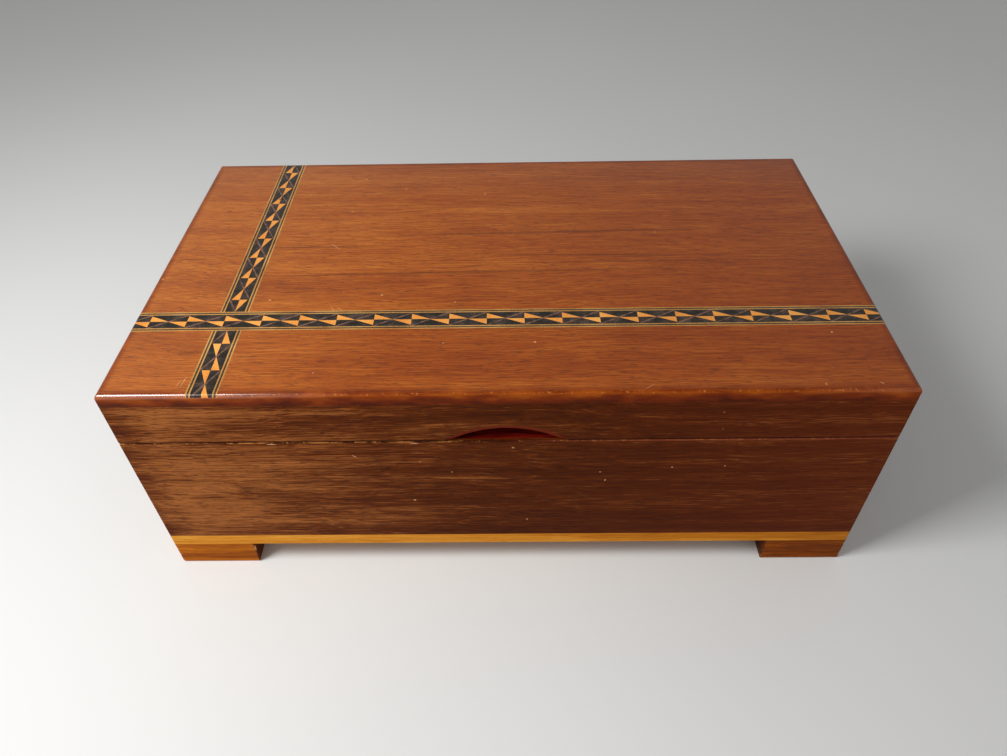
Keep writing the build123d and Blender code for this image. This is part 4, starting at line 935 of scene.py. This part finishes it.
def dress_wood():
    """Every wooden node gets its own cut of wood."""
    dress(["lid_top_board"], mahogany_top())
    for i, board in enumerate(wall_nodes):
        along = "y" if "left" in board or "right" in board else "x"
        start = (0.13 * i, 0.21 * i, 0.05 * i)
        dress([board], walnut(f"walnut_{board}", board, start, along))
    for i, board in enumerate(foot_nodes):
        start = (0.2 * i, 0.11 * i, 0.0)
        dress([board], plain_wood(
            f"wood_{board}", foot_tones, start, foot=board,
            figure=5 * mm, streak=0.5 * mm, lift=lit_end,
        ))
    dress(["base_board"], plain_wood(
        "golden_base", pale_tones, (0.1, 0.4, 0.0),
        figure=5 * mm, streak=0.5 * mm, lines=0.15, pores=0.2, lift=lit_end,
    ))
    dress(["movement_front_partition"], plain_wood(
        "partition_wood", inside_tones, (0.4, 0.3, 0.0)
    ))
    dress(side_partition_nodes, plain_wood(
        "side_partition_wood", inside_tones, (0.6, 0.1, 0.0), "y"
    ))
    dress(["mirror_frame"], plain_wood("mirror_frame_wood", inside_tones, (0.8, 0.5, 0.0)))


def dress_banding():
    """The banding's four veneers."""
    dress(["inlay_ground"], banding_ground())
    dress(["inlay_triangles"], banding_wood(
        "banding_orange", (196, 116, 46), (224, 146, 62), (240, 170, 86)
    ))
    dress(["inlay_light_lines"], banding_wood(
        "banding_light", (140, 92, 40), (180, 130, 66), (206, 158, 92)
    ))
    dress(["inlay_dark_lines"], banding_wood(
        "banding_dark", (40, 28, 22), (66, 48, 34), (92, 70, 46)
    ))


def dress_movement():
    """Brass, steel, glass and silvering."""
    dress(brass_nodes, metal("bright_brass", (226, 186, 104), (178, 138, 72), 0.22))
    dress(old_brass_nodes, metal("old_brass", (204, 164, 92), (130, 96, 52), 0.30, 3 * mm))
    dress(steel_nodes, metal("ground_steel", (196, 198, 202), (140, 142, 148), 0.22))
    dress(["comb_block"], metal("cast_block", (120, 122, 126), (84, 86, 90), 0.42))
    dress(["movement_glass"], clear_glass())
    dress(["lid_mirror"], mirror_silver())


# Soft pieces

cloth_quality = 5
cloth_mass = 0.2
cloth_steps = 20
held_height = 0.8 * mm


def swell(piece, pressure, most):
    """Blows a closed shape up as cloth, its underside held, no point moved further than most."""
    group = piece.vertex_groups.new(name="held")
    underside = min(v.co.z for v in piece.data.vertices)
    held = [v.index for v in piece.data.vertices if v.co.z < underside + held_height]
    group.add(held, 1.0, "REPLACE")
    start = [v.co.copy() for v in piece.data.vertices]
    cloth = piece.modifiers.new("cloth", "CLOTH")
    cloth.settings.quality = cloth_quality
    cloth.settings.mass = cloth_mass
    cloth.settings.use_pressure = True
    cloth.settings.uniform_pressure_force = pressure
    cloth.settings.vertex_group_mass = "held"
    cloth.settings.effector_weights.gravity = 0.0
    cloth.collision_settings.use_collision = False
    scene = bpy.context.scene
    for step in range(1, cloth_steps + 1):
        scene.frame_set(step)
    graph = bpy.context.evaluated_depsgraph_get()
    blown = [v.co.copy() for v in piece.evaluated_get(graph).data.vertices]
    piece.modifiers.remove(cloth)
    piece.vertex_groups.clear()
    scene.frame_set(1)
    for vertex, first, last in zip(piece.data.vertices, start, blown):
        move = last - first
        if move.length > most:
            move = move.normalized() * most
        vertex.co = first + move


def apply_modifiers(piece):
    """Bakes a piece's modifiers into its mesh."""
    graph = bpy.context.evaluated_depsgraph_get()
    finished = bpy.data.meshes.new_from_object(piece.evaluated_get(graph))
    piece.modifiers.clear()
    piece.data = finished


def padding(name, corner_low, corner_high, corner, voxel):
    """A rounded block that fills a space, cut into small even faces."""
    size = corner_high - corner_low
    shape = bmesh.new()
    bmesh.ops.create_cube(shape, size=1.0)
    bmesh.ops.scale(shape, vec=size, verts=shape.verts)
    bmesh.ops.translate(shape, vec=(corner_low + corner_high) / 2, verts=shape.verts)
    bmesh.ops.bevel(
        shape, geom=shape.edges[:], offset=corner, offset_type="OFFSET", segments=4,
        profile=0.5, affect="EDGES", material=-1,
    )
    mesh = bpy.data.meshes.new(name)
    shape.to_mesh(mesh)
    shape.free()
    piece = bpy.data.objects.new(name, mesh)
    bpy.context.scene.collection.objects.link(piece)
    remesh = piece.modifiers.new("remesh", "REMESH")
    remesh.mode = "VOXEL"
    remesh.voxel_size = voxel
    apply_modifiers(piece)
    return piece


def finish_padding(piece, node, material):
    """Smooths a padded piece, gives it its material, hangs it on the case and hides the node it
    stands for.
    """
    smooth = piece.modifiers.new("smooth", "SUBSURF")
    smooth.levels = 1
    smooth.render_levels = 1
    for face in piece.data.polygons:
        face.use_smooth = True
    piece.data.materials.append(material)
    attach(piece, "case")
    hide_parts(node)


pad_inset = 0.7 * mm
pad_slack = 1.0 * mm
pad_lowered = 0.3 * mm
pad_corner = 1.6 * mm
pad_voxel = 2.2 * mm
pad_pressure = 4.0
roll_count = 5
roll_gap = 0.8 * mm
roll_inset = 0.5 * mm
roll_slack = 0.7 * mm
roll_corner = 5.4 * mm
roll_voxel = 1.6 * mm
roll_pressure = 3.0


def jewellery_pad(material):
    """The floor pad of the large compartment."""
    corner_low = low("jewellery_pad") + Vector((pad_inset, pad_inset, 0.0))
    corner_high = high("jewellery_pad") - Vector((pad_inset, pad_inset, pad_slack + pad_lowered))
    piece = padding("jewellery_pad_velvet", corner_low, corner_high, pad_corner, pad_voxel)
    swell(piece, pad_pressure, pad_slack)
    finish_padding(piece, "jewellery_pad", material)


def ring_rolls(material):
    """The rolls that grip rings, side by side from front to back."""
    whole_low, whole_high = low("ring_rolls"), high("ring_rolls")
    pitch = (whole_high.y - whole_low.y + roll_gap) / roll_count
    for i in range(roll_count):
        start = whole_low.y + i * pitch
        end = start + pitch - roll_gap
        corner_low = Vector((whole_low.x + roll_inset, start + roll_inset, whole_low.z))
        corner_high = Vector((
            whole_high.x - roll_inset, end - roll_inset, whole_high.z - roll_inset
        ))
        piece = padding(f"ring_roll_{i + 1}", corner_low, corner_high, roll_corner, roll_voxel)
        swell(piece, roll_pressure, roll_slack)
        finish_padding(piece, "ring_rolls", material)


# Floor, lamps and surroundings

floor_size = 8.0
key_place = Vector((-0.34, -0.20, 0.46))
lamp_aim = Vector((0.0, 0.0, 0.06))
key_width = 0.20
key_power = 2.9
fill_place = Vector((-0.20, -1.30, 0.50))
fill_width = 1.2
fill_power = 3.8
world_level = 0.30
backdrop_level = 0.9


def add_floor():
    """A plain pale floor."""
    shape = bmesh.new()
    bmesh.ops.create_grid(shape, x_segments=1, y_segments=1, size=floor_size / 2)
    mesh = bpy.data.meshes.new("studio_floor")
    shape.to_mesh(mesh)
    shape.free()
    floor = bpy.data.objects.new("studio_floor", mesh)
    bpy.context.scene.collection.objects.link(floor)
    material, tree, shader, place = new_material("studio_floor")
    faint = noise(tree, place, 3.0, 2.0)
    feed(tree, shader, {
        "Base Color": ramp(tree, faint, steps((0.0, 1.0), (214, 214, 212), (224, 224, 222))),
        "Roughness": 0.8,
    })
    mesh.materials.append(material)


def add_lamp(name, place, width, power):
    """A square soft lamp that faces the box."""
    data = bpy.data.lights.new(name, "AREA")
    data.shape = "SQUARE"
    data.size = width
    data.energy = power
    lamp = bpy.data.objects.new(name, data)
    turn = (lamp_aim - place).to_track_quat("-Z", "Y").to_matrix().to_4x4()
    lamp.matrix_world = Matrix.Translation(place) @ turn
    bpy.context.scene.collection.objects.link(lamp)


def add_world():
    """Even pale surroundings, with their own level where they are seen or mirrored."""
    world = bpy.data.worlds.new("studio")
    world.use_nodes = True
    tree = world.node_tree
    path = put(tree, "LightPath").outputs
    seen = larger(tree, path["Is Camera Ray"], path["Is Transmission Ray"])
    seen = larger(tree, seen, path["Is Glossy Ray"])
    feed(tree, tree.nodes["Background"], {
        "Color": mix(tree, seen, colour(255, 255, 255), colour(222, 222, 220)),
        "Strength": choose(tree, seen, world_level, backdrop_level),
    })
    bpy.context.scene.world = world


add_camera()
dress_wood()
dress_banding()
dress_movement()
red_velvet = velvet()
jewellery_pad(red_velvet)
ring_rolls(red_velvet)
add_floor()
add_lamp("key_lamp", key_place, key_width, key_power)
add_lamp("front_fill", fill_place, fill_width, fill_power)
add_world()
bpy.context.scene.view_settings.view_transform = "Standard"
